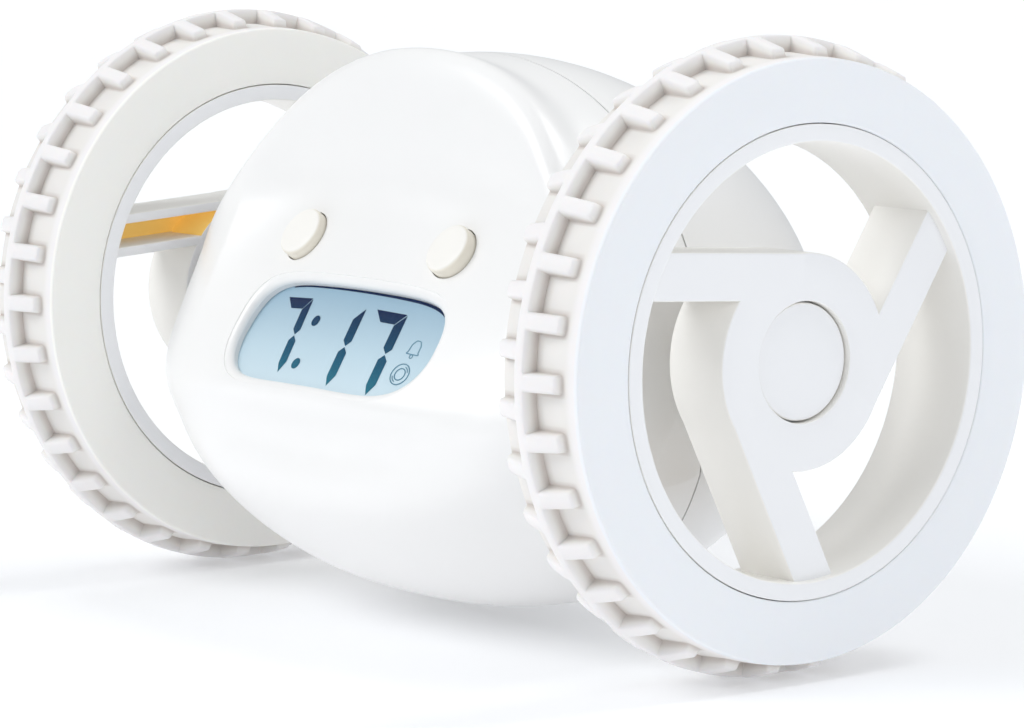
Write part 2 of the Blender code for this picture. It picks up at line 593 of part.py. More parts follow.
def spoke_solid(k, phase, face):
    """Channel spoke: thin outer web with two deep side walls, open towards the body."""
    f = face - FACE_RECESS
    lo, hi = SPOKE_LO, SPOKE_HI
    a = math.pi + phase - 2 * math.pi / 3 * k          # direction seen from outside
    d = (math.cos(a), math.sin(a))
    o = (math.cos(a - math.pi / 2), math.sin(a - math.pi / 2))
    deep = BOSS_DEPTH

    def at(x, along, off):
        return (x, d[0] * along + o[0] * off, AXLE_Z + d[1] * along + o[1] * off)

    prof = [(f, lo), (f, hi), (f - deep, hi), (f - deep, hi - SKIN), (f - WEB, hi - SKIN),
            (f - WEB, lo + SKIN), (f - deep, lo + SKIN), (f - deep, lo)]

    def end(off):
        return math.sqrt((RIM_LIP_R + 0.7) ** 2 - off ** 2)

    def start(off):
        return math.sqrt(max((BOSS_R - 0.8) ** 2 - off ** 2, 0.0))

    return rings([[at(x, start(q), q) for x, q in prof], [at(x, end(q), q) for x, q in prof]])


def hull(pts):
    """Convex outline of flat points, counter-clockwise."""
    pts = sorted(set((round(a, 4), round(b, 4)) for a, b in pts))

    def chain(seq):
        out = []
        for p in seq:
            while len(out) > 1 and (out[-1][0] - out[-2][0]) * (p[1] - out[-2][1]) - (out[-1][1] - out[-2][1]) * (p[0] - out[-2][0]) <= 1e-6:
                out.pop()
            out.append(p)
        return out[:-1]

    return chain(pts) + chain(pts[::-1])


def side_name(base, s):
    return base + ("_right" if s > 0 else "_left")


for s in (1, -1):
    flip = (lambda vf: vf) if s > 0 else mirror_x
    f = FACE_X[s]
    axle_o = (s * RIB_X, 0, AXLE_Z)
    make(side_name("tyre", s), *tyre(s * RIB_X), "tread_rubber", origin=axle_o)
    ring, boss = rim_parts(f)
    rim = make(side_name("wheel_rim", s), *flip(ring), "wheel_white", origin=axle_o, smooth=True)
    hub = tool(flip(boss))
    for k in range(3):
        boolean(hub, tool(flip(spoke_solid(k, RIM_PHASE[s], f))), "UNION")
    boolean(rim, hub, "UNION")
    make(side_name("hub_cap", s), *flip(disc_stack([(f - 3.7, CAP_R - GAP / 2), (f - 2.6, CAP_R - GAP / 2), (f - 2.2, CAP_R - 0.6)], 0, AXLE_Z, 36)),
         "wheel_white", origin=axle_o, smooth=True)
    make(side_name("axle", s), *flip(disc_stack([(28.9, AXLE_R), (f - 4.4, AXLE_R), (f - 4.1, AXLE_R - 0.3)], 0, AXLE_Z, 16)), "steel", origin=axle_o, smooth=True)
    make(side_name("axle_bush", s), *flip(lathe_ring([(46.9, AXLE_R + 0.08), (46.9, 5.2), (47.6, 5.2), (47.6, 3.3), (50.6, 3.3), (50.6, AXLE_R + 0.08)], 0, AXLE_Z, 20)), "brass", smooth=True)
    make(side_name("output_gear", s), *flip(gear(T_OUT, MODULE, 32.0, 35.0, 0, AXLE_Z, PH_OUT, AXLE_R + 0.03)), "gear_nylon", origin=axle_o)
    comp = make(side_name("compound_gear", s), *flip(gear(T_SMALL, MODULE, 30.6, 35.5, COMP[0], COMP[1], PH_SMALL, 1.08, nb=12)), "gear_nylon", origin=(s * 34.0, COMP[0], COMP[1]))
    boolean(comp, tool(flip(gear(T_BIG, MODULE, 35.4, 37.4, COMP[0], COMP[1], PH_BIG, 1.08, nb=12))), "UNION")
    make(side_name("gear_pin", s), *flip(disc_stack([(28.6, 1.0), (38.4, 1.0)], COMP[0], COMP[1], 12)), "steel", smooth=True)
    make(side_name("motor_pinion", s), *flip(gear(T_PIN, MODULE, 35.3, 38.0, PIN[0], PIN[1], PH_PIN, 0.80, nb=10)), "brass", origin=(s * 36.6, PIN[0], PIN[1]))
    make(side_name("motor", s), *flip(disc_stack([(10.4, 2.0), (10.4, 6.8), (28.0, 6.8), (28.0, 2.0), (29.2, 2.0), (29.2, 0.75), (38.4, 0.75)], PIN[0], PIN[1], 16)), "steel", smooth=True)
    plate = hull([(cy + r * math.cos(math.pi * j / 8), cz + r * math.sin(math.pi * j / 8))
                  for cy, cz, r in ((0.0, AXLE_Z, 4.6), (PIN[0], PIN[1], 6.6), (COMP[0], COMP[1], 4.6)) for j in range(16)])
    pl = make(side_name("gear_plate", s), *flip(prism_x(plate, 28.6, 30.1)), "gear_nylon")
    for cy, cz, r in ((0.0, AXLE_Z, AXLE_R + 0.08), (PIN[0], PIN[1], 2.3), (COMP[0], COMP[1], 1.06)):
        boolean(pl, tool(flip(disc_stack([(25.0, r), (33.0, r)], cy, cz, 16))), "DIFFERENCE")
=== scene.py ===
import bpy
import bmesh
import json
import math
import numpy as np
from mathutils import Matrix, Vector


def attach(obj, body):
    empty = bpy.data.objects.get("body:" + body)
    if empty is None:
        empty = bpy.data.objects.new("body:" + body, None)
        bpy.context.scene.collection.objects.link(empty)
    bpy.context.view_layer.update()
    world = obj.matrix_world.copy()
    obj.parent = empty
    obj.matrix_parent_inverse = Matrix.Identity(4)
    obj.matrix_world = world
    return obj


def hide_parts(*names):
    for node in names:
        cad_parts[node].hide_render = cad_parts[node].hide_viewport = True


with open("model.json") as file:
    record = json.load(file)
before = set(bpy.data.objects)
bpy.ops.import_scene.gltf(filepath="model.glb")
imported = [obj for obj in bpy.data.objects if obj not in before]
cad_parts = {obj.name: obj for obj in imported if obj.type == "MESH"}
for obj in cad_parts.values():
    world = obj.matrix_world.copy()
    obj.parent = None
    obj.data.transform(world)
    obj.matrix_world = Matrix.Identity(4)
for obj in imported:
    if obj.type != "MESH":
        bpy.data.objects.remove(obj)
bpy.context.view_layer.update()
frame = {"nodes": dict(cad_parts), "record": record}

MM = 0.001

# ------------------------------------------------------------------ dimensions (mm)
WHEEL_R = 44.5
AXLE_Z = 44.5
RIB_X = 63.6
TYRE_PLUS, TYRE_MINUS = 8.9, 6.1
FACE_X = {1: RIB_X + TYRE_PLUS, -1: RIB_X + TYRE_MINUS}
MID_X = (FACE_X[1] - FACE_X[-1]) / 2
SEAM_R = 32.75
RIB_HALF = 1.05
BARS = 34
RIM_LIP_R = 30.3
RIM_DEPTH = 15.0
RIM_PHASE = {1: math.radians(-3.5), -1: math.radians(4.0)}
BOSS_R, BOSS_DEPTH, CAP_R = 15.1, 11.0, 8.3
SPOKE_LO, SPOKE_HI = 8.4, 15.0
FACE_RECESS, SKIN, WEB = 1.5, 1.5, 2.4

BODY_Z, BODY_R, BODY_HALF, SHELL = 43.4, 41.34, 49.5, 1.6
FACE_TILT, FACE_S = math.radians(25.6), 27.8
FACE_BEND, SAG_MAX = 280.0, 6.3
FOREHEAD, RIM_LIP = 5.6, 3.96
GROOVE, GROOVE_DEG, GROOVE_W = 4.2, -24.0, 7.6
PLATE_TILT, PLATE_S = math.radians(36.0), 24.4
WINDOW_A, WINDOW_V = 23.4, -16.5
EYE_X, EYE_V, EYE_R = 17.97, -0.8, 4.0

P_N = np.array((0.0, -math.cos(PLATE_TILT), math.sin(PLATE_TILT)))
P_V = np.array((0.0, math.sin(PLATE_TILT), math.cos(PLATE_TILT)))


def sag(x):
    return SAG_MAX * (1 - np.exp(-np.asarray(x, float) ** 2 / (FACE_BEND * SAG_MAX)))


def face_point(x, v, s):
    return (x, P_N[1] * s + P_V[1] * v, BODY_Z + P_N[2] * s + P_V[2] * v)


# ------------------------------------------------------------------ materials
def shader(name):
    m = bpy.data.materials.new(name)
    m.use_nodes = True
    return m, m.node_tree, m.node_tree.nodes["Principled BSDF"]


def plastic(name, rgb, rough, vary=0.02, grain=0.0, grain_scale=900.0, coat=0.0, cloud=45.0, spec=0.5, sss=0.0):
    """Moulded plastic: faint cloudy tone, uneven gloss and an optional fine texture."""
    m, nt, b = shader(name)
    tc = nt.nodes.new("ShaderNodeTexCoord")
    n1 = nt.nodes.new("ShaderNodeTexNoise")
    n1.inputs["Scale"].default_value = cloud
    n1.inputs["Detail"].default_value = 3.0
    nt.links.new(tc.outputs["Object"], n1.inputs["Vector"])
    ramp = nt.nodes.new("ShaderNodeValToRGB")
    ramp.color_ramp.elements[0].position, ramp.color_ramp.elements[1].position = 0.3, 0.7
    ramp.color_ramp.elements[0].color = (*[c * (1 - vary) for c in rgb], 1)
    ramp.color_ramp.elements[1].color = (*[min(1, c * (1 + vary * 0.5)) for c in rgb], 1)
    nt.links.new(n1.outputs["Fac"], ramp.inputs["Fac"])
    nt.links.new(ramp.outputs["Color"], b.inputs["Base Color"])
    mr = nt.nodes.new("ShaderNodeMapRange")
    mr.inputs["To Min"].default_value = rough * 0.88
    mr.inputs["To Max"].default_value = rough * 1.12
    nt.links.new(n1.outputs["Fac"], mr.inputs["Value"])
    nt.links.new(mr.outputs["Result"], b.inputs["Roughness"])
    if grain:
        n2 = nt.nodes.new("ShaderNodeTexNoise")
        n2.inputs["Scale"].default_value = grain_scale
        n2.inputs["Detail"].default_value = 2.0
        nt.links.new(tc.outputs["Object"], n2.inputs["Vector"])
        bump = nt.nodes.new("ShaderNodeBump")
        bump.inputs["Strength"].default_value = grain
        bump.inputs["Distance"].default_value = 0.0001
        nt.links.new(n2.outputs["Fac"], bump.inputs["Height"])
        nt.links.new(bump.outputs["Normal"], b.inputs["Normal"])
    b.inputs["Specular IOR Level"].default_value = spec
    if coat:
        b.inputs["Coat Weight"].default_value = coat
        b.inputs["Coat Roughness"].default_value = 0.14
    if sss:
        b.inputs["Subsurface Weight"].default_value = sss
        b.inputs["Subsurface Radius"].default_value = (1.0, 0.6, 0.4)
        b.inputs["Subsurface Scale"].default_value = 0.002
    return m


def metal(name, rgb, rough):
    """Metal with fine turning marks."""
    m, nt, b = shader(name)
    tc = nt.nodes.new("ShaderNodeTexCoord")
    mp = nt.nodes.new("ShaderNodeMapping")
    mp.inputs["Scale"].default_value = (2500.0, 120.0, 120.0)
    n = nt.nodes.new("ShaderNodeTexNoise")
    n.inputs["Scale"].default_value = 1.0
    nt.links.new(tc.outputs["Object"], mp.inputs["Vector"])
    nt.links.new(mp.outputs["Vector"], n.inputs["Vector"])
    mr = nt.nodes.new("ShaderNodeMapRange")
    mr.inputs["To Min"].default_value = rough * 0.7
    mr.inputs["To Max"].default_value = rough * 1.3
    nt.links.new(n.outputs["Fac"], mr.inputs["Value"])
    nt.links.new(mr.outputs["Result"], b.inputs["Roughness"])
    mix = nt.nodes.new("ShaderNodeMix")
    mix.data_type = "RGBA"
    mix.inputs["A"].default_value = (*[c * 0.9 for c in rgb], 1)
    mix.inputs["B"].default_value = (*rgb, 1)
    nt.links.new(n.outputs["Fac"], mix.inputs["Factor"])
    nt.links.new(mix.outputs["Result"], b.inputs["Base Color"])
    b.inputs["Metallic"].default_value = 1.0
    return m


def tread_material(name, wall):
    """Soft light rubber with painted shade: colour follows the 'depth' attribute from the given sidewall colour over
    pale bar tops and a darker beige floor to a dark brown painted shade down in the pockets of the tread.
    """
    m, nt, b = shader(name)
    at = nt.nodes.new("ShaderNodeAttribute")
    at.attribute_name = "depth"
    tc = nt.nodes.new("ShaderNodeTexCoord")
    n1 = nt.nodes.new("ShaderNodeTexNoise")
    n1.inputs["Scale"].default_value = 260.0
    n1.inputs["Detail"].default_value = 4.0
    nt.links.new(tc.outputs["Object"], n1.inputs["Vector"])
    add = nt.nodes.new("ShaderNodeMath")
    add.operation = "MULTIPLY_ADD"
    add.inputs[1].default_value = 0.10
    nt.links.new(n1.outputs["Fac"], add.inputs[0])
    nt.links.new(at.outputs["Fac"], add.inputs[2])
    ramp = nt.nodes.new("ShaderNodeValToRGB")
    e = ramp.color_ramp.elements
    # Painted light: wall is the sidewall colour, a cool lit tone on the near tyre and a warmer shaded tone on the far
    # tyre.
    e[0].position, e[0].color = 0.08, (*wall, 1)
    # Painted shade: dark brown where the tread pockets meet their walls.
    e[1].position, e[1].color = 1.0, (0.58, 0.52, 0.48, 1)
    # Bar and rib tops pale, the tread floor painted a little darker and browner as shade.
    for at_pos, rgb in ((0.20, (0.88, 0.86, 0.86)), (0.36, (0.87, 0.85, 0.845)), (0.60, (0.82, 0.80, 0.77))):
        stop = ramp.color_ramp.elements.new(at_pos)
        stop.color = (*rgb, 1)
    nt.links.new(add.outputs[0], ramp.inputs["Fac"])
    nt.links.new(ramp.outputs["Color"], b.inputs["Base Color"])
    b.inputs["Roughness"].default_value = 0.55
    b.inputs["Specular IOR Level"].default_value = 0.35
    b.inputs["Subsurface Weight"].default_value = 0.12
    b.inputs["Subsurface Radius"].default_value = (1.0, 0.7, 0.5)
    b.inputs["Subsurface Scale"].default_value = 0.0015
    n2 = nt.nodes.new("ShaderNodeTexNoise")
    n2.inputs["Scale"].default_value = 1600.0
    nt.links.new(tc.outputs["Object"], n2.inputs["Vector"])
    bump = nt.nodes.new("ShaderNodeBump")
    bump.inputs["Strength"].default_value = 0.15
    bump.inputs["Distance"].default_value = 0.0001
    nt.links.new(n2.outputs["Fac"], bump.inputs["Height"])
    nt.links.new(bump.outputs["Normal"], b.inputs["Normal"])
    return m


def face_ramp(nt, lo, hi, stops):
    """Colour that changes up the slope of the face, between two places on it (mm)."""
    tc = nt.nodes.new("ShaderNodeTexCoord")
    dot = nt.nodes.new("ShaderNodeVectorMath")
    dot.operation = "DOT_PRODUCT"
    dot.inputs[1].default_value = tuple(P_V)
    nt.links.new(tc.outputs["Object"], dot.inputs[0])
    base = BODY_Z * P_V[2]
    mr = nt.nodes.new("ShaderNodeMapRange")
    mr.inputs["From Min"].default_value = (lo + base) * MM
    mr.inputs["From Max"].default_value = (hi + base) * MM
    nt.links.new(dot.outputs["Value"], mr.inputs["Value"])
    noise = nt.nodes.new("ShaderNodeTexNoise")
    noise.inputs["Scale"].default_value = 60.0
    nt.links.new(tc.outputs["Object"], noise.inputs["Vector"])
    add = nt.nodes.new("ShaderNodeMath")
    add.operation = "MULTIPLY_ADD"
    add.inputs[1].default_value = 0.06
    nt.links.new(noise.outputs["Fac"], add.inputs[0])
    nt.links.new(mr.outputs["Result"], add.inputs[2])
    ramp = nt.nodes.new("ShaderNodeValToRGB")
    e = ramp.color_ramp.elements
    e[0].position, e[0].color = stops[0][0], (*stops[0][1], 1)
    e[1].position, e[1].color = stops[-1][0], (*stops[-1][1], 1)
    for p, c in stops[1:-1]:
        x = e.new(p)
        x.color = (*c, 1)
    nt.links.new(add.outputs[0], ramp.inputs["Fac"])
    return ramp


def lcd_material():
    m, nt, b = shader("display_blue")
    ramp = face_ramp(nt, -26.0, -8.5, [(0.0, (0.66, 0.80, 0.87)), (0.45, (0.52, 0.68, 0.77)), (1.0, (0.30, 0.46, 0.58))])
    nt.links.new(ramp.outputs["Color"], b.inputs["Base Color"])
    # Painted glow: the unlit panel colour is also fed to a faint emission so that the panel looks luminous.
    nt.links.new(ramp.outputs["Color"], b.inputs["Emission Color"])
    b.inputs["Emission Strength"].default_value = 0.15
    b.inputs["Roughness"].default_value = 0.35
    return m


def digit_material():
    m, nt, b = shader("display_segments_and_lip_shadow")
    ramp = face_ramp(nt, -24.2, -10.4, [(0.0, (0.025, 0.21, 0.29)), (0.4, (0.008, 0.095, 0.18)), (1.0, (0.0, 0.012, 0.07))])
    nt.links.new(ramp.outputs["Color"], b.inputs["Base Color"])
    b.inputs["Roughness"].default_value = 0.5
    b.inputs["Specular IOR Level"].default_value = 0.08
    return m


def icon_material():
    m, nt, b = shader("display_icons")
    ramp = face_ramp(nt, -22.0, -14.0, [(0.0, (0.10, 0.26, 0.36)), (1.0, (0.18, 0.36, 0.48))])
    nt.links.new(ramp.outputs["Color"], b.inputs["Base Color"])
    b.inputs["Roughness"].default_value = 0.5
    b.inputs["Specular IOR Level"].default_value = 0.08
    return m


def clear_material():
    """Thin clear window with a faint surface gloss."""
    m, nt, b = shader("clear_window_gloss")
    tc = nt.nodes.new("ShaderNodeTexCoord")
    n = nt.nodes.new("ShaderNodeTexNoise")
    n.inputs["Scale"].default_value = 80.0
    nt.links.new(tc.outputs["Object"], n.inputs["Vector"])
    mr = nt.nodes.new("ShaderNodeMapRange")
    mr.inputs["To Min"].default_value = 0.05
    mr.inputs["To Max"].default_value = 0.10
    nt.links.new(n.outputs["Fac"], mr.inputs["Value"])
    nt.links.new(mr.outputs["Result"], b.inputs["Roughness"])
    b.inputs["Base Color"].default_value = (0.10, 0.14, 0.17, 1)
    b.inputs["Alpha"].default_value = 0.05
    return m


M = {
    "shell_white": plastic("shell_white_gloss", (0.90, 0.895, 0.885), 0.325, vary=0.008, coat=0.12, cloud=20.0),
    "wheel_white": plastic("wheel_white_satin", (0.875, 0.88, 0.895), 0.34, vary=0.012, grain=0.10, grain_scale=1500.0, cloud=30.0),
    # Lit copy of the tread rubber for the near wheel: cool bluish sidewall colour as painted light.
    "tread_rubber": tread_material("tread_rubber_near_lit", (0.86, 0.88, 0.91)),
    "button_cream": plastic("button_cream_satin", (0.93, 0.91, 0.865), 0.36, vary=0.02, grain=0.06),
    "clear_window": clear_material(),
    "display": lcd_material(),
    "board_green": plastic("board_green_mask", (0.05, 0.28, 0.12), 0.42, vary=0.15, grain=0.2),
    "black_plastic": plastic("black_plastic_matt", (0.03, 0.03, 0.035), 0.45, vary=0.2, grain=0.2),
    "gear_nylon": plastic("gear_nylon_satin", (0.80, 0.79, 0.74), 0.42, vary=0.04, grain=0.1),
    "steel": metal("steel_plain", (0.62, 0.62, 0.63), 0.30),
    "brass": metal("brass_plain", (0.74, 0.57, 0.28), 0.32),
    "cell_can": plastic("cell_sleeve_blue", (0.12, 0.30, 0.55), 0.30, vary=0.08),
    "amber_guide": plastic("amber_satin", (0.95, 0.62, 0.16), 0.40, vary=0.08),
}


def paint_warm_shade(m, rgb, axis=(1.0, 0.0, 0.0)):
    """Painted shade: faces that look away from the axis are painted the given warmer colour, standing in for the warm
    bounced light they catch, while faces along the axis keep the cooler base colour.
    """
    nt = m.node_tree
    b = nt.nodes["Principled BSDF"]
    cool = b.inputs["Base Color"].links[0].from_socket
    tc = nt.nodes.new("ShaderNodeTexCoord")
    dot = nt.nodes.new("ShaderNodeVectorMath")
    dot.operation = "DOT_PRODUCT"
    dot.inputs[1].default_value = tuple(axis)
    nt.links.new(tc.outputs["Normal"], dot.inputs[0])
    mr = nt.nodes.new("ShaderNodeMapRange")
    mr.inputs["From Min"].default_value = 0.55
    mr.inputs["From Max"].default_value = 0.95
    nt.links.new(dot.outputs["Value"], mr.inputs["Value"])
    mix = nt.nodes.new("ShaderNodeMix")
    mix.data_type = "RGBA"
    mix.inputs[6].default_value = (*rgb, 1)
    nt.links.new(cool, mix.inputs[7])
    nt.links.new(mr.outputs["Result"], mix.inputs[0])
    nt.links.new(mix.outputs[2], b.inputs["Base Color"])


# Painted shade: rim and hub faces that do not face +X are painted warmer.
paint_warm_shade(M["wheel_white"], (0.93, 0.915, 0.88))
# Painted shade: the button walls are painted a darker cream, the top face keeps the paler base colour.
paint_warm_shade(M["button_cream"], (0.86, 0.81, 0.70), P_N)
SEGMENT_AND_SHADOW_INK, ICONS = digit_material(), icon_material()
# Shaded copy of the tread rubber for the far wheel: warmer sidewall colour as painted shade from warm bounced light.
TREAD_FAR_SHADED = tread_material("tread_rubber_far_shaded", (0.94, 0.93, 0.89))
SPOKE_AMBER_GLOW = plastic("spoke_amber_painted_glow", (0.98, 0.66, 0.20), 0.5, vary=0.06)
# Painted glow: a faint orange emission makes the amber channel faces look lit from within.
SPOKE_AMBER_GLOW.node_tree.nodes["Principled BSDF"].inputs["Emission Color"].default_value = (1.0, 0.62, 0.14, 1)
SPOKE_AMBER_GLOW.node_tree.nodes["Principled BSDF"].inputs["Emission Strength"].default_value = 0.25


# ------------------------------------------------------------------ mesh helpers
def mesh_object(name, verts, faces, mats, smooth_deg=35.0):
    me = bpy.data.meshes.new(name)
    me.from_pydata([((p[0] - MID_X) * MM, p[1] * MM, p[2] * MM) for p in verts], [], faces)
    bm = bmesh.new()
    bm.from_mesh(me)
    bmesh.ops.remove_doubles(bm, verts=bm.verts, dist=1e-7)
    bmesh.ops.recalc_face_normals(bm, faces=bm.faces)
    bm.to_mesh(me)
    bm.free()
    ob = bpy.data.objects.new(name, me)
    bpy.context.scene.collection.objects.link(ob)
    for m in mats if isinstance(mats, (list, tuple)) else [mats]:
        me.materials.append(m)
    shade(me, smooth_deg)
    return ob


def shade(me, deg):
    if deg:
        me.polygons.foreach_set("use_smooth", [True] * len(me.polygons))
        me.set_sharp_from_angle(angle=math.radians(deg))


def rings(loops, closed_u=False, caps=True):
    n = len(loops[0])
    verts = [tuple(p) for lp in loops for p in lp]
    faces = []
    count = len(loops)
    for i in range(count if closed_u else count - 1):
        a, b = i * n, ((i + 1) % count) * n
        for j in range(n):
            k = (j + 1) % n
            faces.append((a + j, a + k, b + k, b + j))
    if caps and not closed_u:
        faces.append(tuple(range(n))[::-1])
        faces.append(tuple(range((count - 1) * n, count * n)))
    return verts, faces


def disc_stack(steps, y, z, n=48):
    return rings([[(x, y + r * math.cos(2 * math.pi * j / n), z + r * math.sin(2 * math.pi * j / n)) for j in range(n)] for x, r in steps])


def lathe_ring(profile, y, z, n=96):
    return rings([[(x, y + r * math.cos(2 * math.pi * j / n), z + r * math.sin(2 * math.pi * j / n)) for x, r in profile] for j in range(n)], closed_u=True)


def frame_of(axis):
    w = Vector(axis).normalized()
    u = Vector((1, 0, 0)) if abs(w.x) < 0.9 else Vector((0, 1, 0))
    v = w.cross(u).normalized()
    return v.cross(w).normalized(), v, w


def post(centre, axis, steps, n=32):
    u, v, w = frame_of(axis)
    c = Vector(centre)
    return rings([[tuple(c + w * d + u * (r * math.cos(2 * math.pi * j / n)) + v * (r * math.sin(2 * math.pi * j / n))) for j in range(n)] for d, r in steps])


def block(lo, hi, bevel=0.0):
    x0, y0, z0 = lo
    x1, y1, z1 = hi
    if bevel <= 0:
        pts = [(x0, y0), (x1, y0), (x1, y1), (x0, y1)]
    else:
        pts = []
        for cx, cy, a0 in ((x1 - bevel, y1 - bevel, 0), (x0 + bevel, y1 - bevel, 90), (x0 + bevel, y0 + bevel, 180), (x1 - bevel, y0 + bevel, 270)):
            for k in range(6):
                a = math.radians(a0 + 18 * k)
                pts.append((cx + bevel * math.cos(a), cy + bevel * math.sin(a)))
    return rings([[(x, y, z0) for x, y in pts], [(x, y, z1) for x, y in pts]])


def mirror_x(vf):
    v, f = vf
    return [(-p[0], p[1], p[2]) for p in v], [tuple(reversed(q)) for q in f]


def rounded(points, radius, seg=4):
    """Round the corners of a closed 2-D outline. Each point is (a, b) or (a, b, radius)."""
    out = []
    n = len(points)
    for i in range(n):
        p = np.array(points[i][:2], float)
        a, b = np.array(points[i - 1][:2], float), np.array(points[(i + 1) % n][:2], float)
        r = points[i][2] if len(points[i]) > 2 else radius
        u, v = a - p, b - p
        lu, lv = np.linalg.norm(u), np.linalg.norm(v)
        if r <= 0 or lu < 1e-6 or lv < 1e-6:
            out.append(tuple(p))
            continue
        u, v = u / lu, v / lv
        ang = math.acos(max(-1, min(1, float(u @ v))))
        t = min(r / math.tan(ang / 2), lu * 0.45, lv * 0.45)
        r = t * math.tan(ang / 2)
        c = p + (u + v) / np.linalg.norm(u + v) * (r / math.sin(ang / 2))
        s0, s1 = p + u * t - c, p + v * t - c
        a0, a1 = math.atan2(s0[1], s0[0]), math.atan2(s1[1], s1[0])
        d = (a1 - a0 + math.pi) % (2 * math.pi) - math.pi
        for k in range(seg + 1):
            q = a0 + d * k / seg
            out.append((c[0] + r * math.cos(q), c[1] + r * math.sin(q)))
    return out


def boolean(target, cutter, op):
    mod = target.modifiers.new("cut", "BOOLEAN")
    mod.operation = op
    mod.solver = "EXACT"
    mod.object = cutter
    dg = bpy.context.evaluated_depsgraph_get()
    dg.update()
    me = bpy.data.meshes.new_from_object(target.evaluated_get(dg))
    target.modifiers.remove(mod)
    old = target.data
    target.data = me
    bpy.data.meshes.remove(old)
    bpy.data.objects.remove(cutter, do_unlink=True)


def tool(vf):
    ob = mesh_object("cutter", *vf, M["shell_white"], 0)
    bpy.context.view_layer.update()
    return ob


def bevelled(ob, width, segments=2, angle=38.0):
    mod = ob.modifiers.new("edge", "BEVEL")
    mod.width = width * MM
    mod.segments = segments
    mod.limit_method = "ANGLE"
    mod.angle_limit = math.radians(angle)
    mod.miter_outer = "MITER_ARC"
    mod.harden_normals = False


# ------------------------------------------------------------------ body surface
def smooth01(t):
    t = np.clip(t, 0, 1)
    return t * t * (3 - 2 * t)


def dish(x, v):
    """Depth below the face rim plane: the steeper display plane, then the hollow forehead above it."""
    a = (2.99 + 0.1835 * v) * smooth01((v + 29.0) / 8.0)
    b = FOREHEAD * 0.5 * (1 + np.cos(math.pi * np.clip((v - 6.0) / 26.0, 0, 1)))
    h = np.clip(0.5 + 0.5 * (b - a) / 1.2, 0, 1)
    d = b * (1 - h) + a * h - 1.2 * h * (1 - h)
    return d * np.clip(1 - (np.abs(x) / 37.0) ** 4, 0, 1)


def body_r(x, th):
    x, th = np.asarray(x, float), np.asarray(th, float)
    co, si = np.cos(th), np.sin(th)
    ax, deg = np.abs(x), np.degrees(th)
    wf = (np.maximum(0, co) ** 2) ** 0.6
    wd = (np.maximum(0, -si) ** 2) ** 1.6
    wb, wu = np.maximum(0, -co) ** 2, np.maximum(0, si) ** 2
    tot = wf + wd + wb + wu
    n = (wf * 2.42 + wb * 2.5 + wu * 2.06 + wd * 2.38) / tot
    c = (wf * 56.42 + wb * 53.0 + wu * 49.71 + wd * 52.04) / tot
    r = BODY_R * np.maximum(1 - (ax / c) ** n, 0.001) ** (1 / n)
    r = r - 0.36 * np.maximum(si, 0) ** 4 - 3.28 * np.exp(-((deg - 60) / 22.0) ** 2) * (ax / 36.0) ** 2
    r = (np.maximum(r, 0.0) ** 8 + 12.0 ** 8) ** 0.125
    rel = th - FACE_TILT
    on = np.cos(rel) > 0.05
    ca = np.where(on, np.cos(rel), 1.0)
    s = (FACE_S - sag(x)) * np.clip(1 - (ax / 52.1) ** 10, 0.05, 1) ** 0.25
    d0 = s / ca
    lip = RIM_LIP * smooth01(si / 0.45) * np.clip(1 - (ax / 47.0) ** 6, 0, 1) * np.exp(-((r - d0) / 5.0) ** 2)
    brow = 1.95 * np.exp(-((deg - 68) / 28.0) ** 2) * np.exp(-((r - d0) / 4.0) ** 2)
    fade = 1 - np.exp(-((r - d0) / 6.0) ** 2)
    d = d0
    for _ in range(5):
        d = (s - dish(x, d * np.sin(rel)) * fade) / ca
    d = d + brow / np.maximum(ca, 0.3)
    q = 21.0
    cut = (np.maximum(r + lip, 1.0) ** -q + np.maximum(d, 1.0) ** -q) ** (-1 / q)
    groove = GROOVE * np.exp(-((deg - GROOVE_DEG) / GROOVE_W) ** 2) * np.clip(1 - (ax / 43.0) ** 2.2, 0, 1)
    return np.where(on, cut, r) - groove


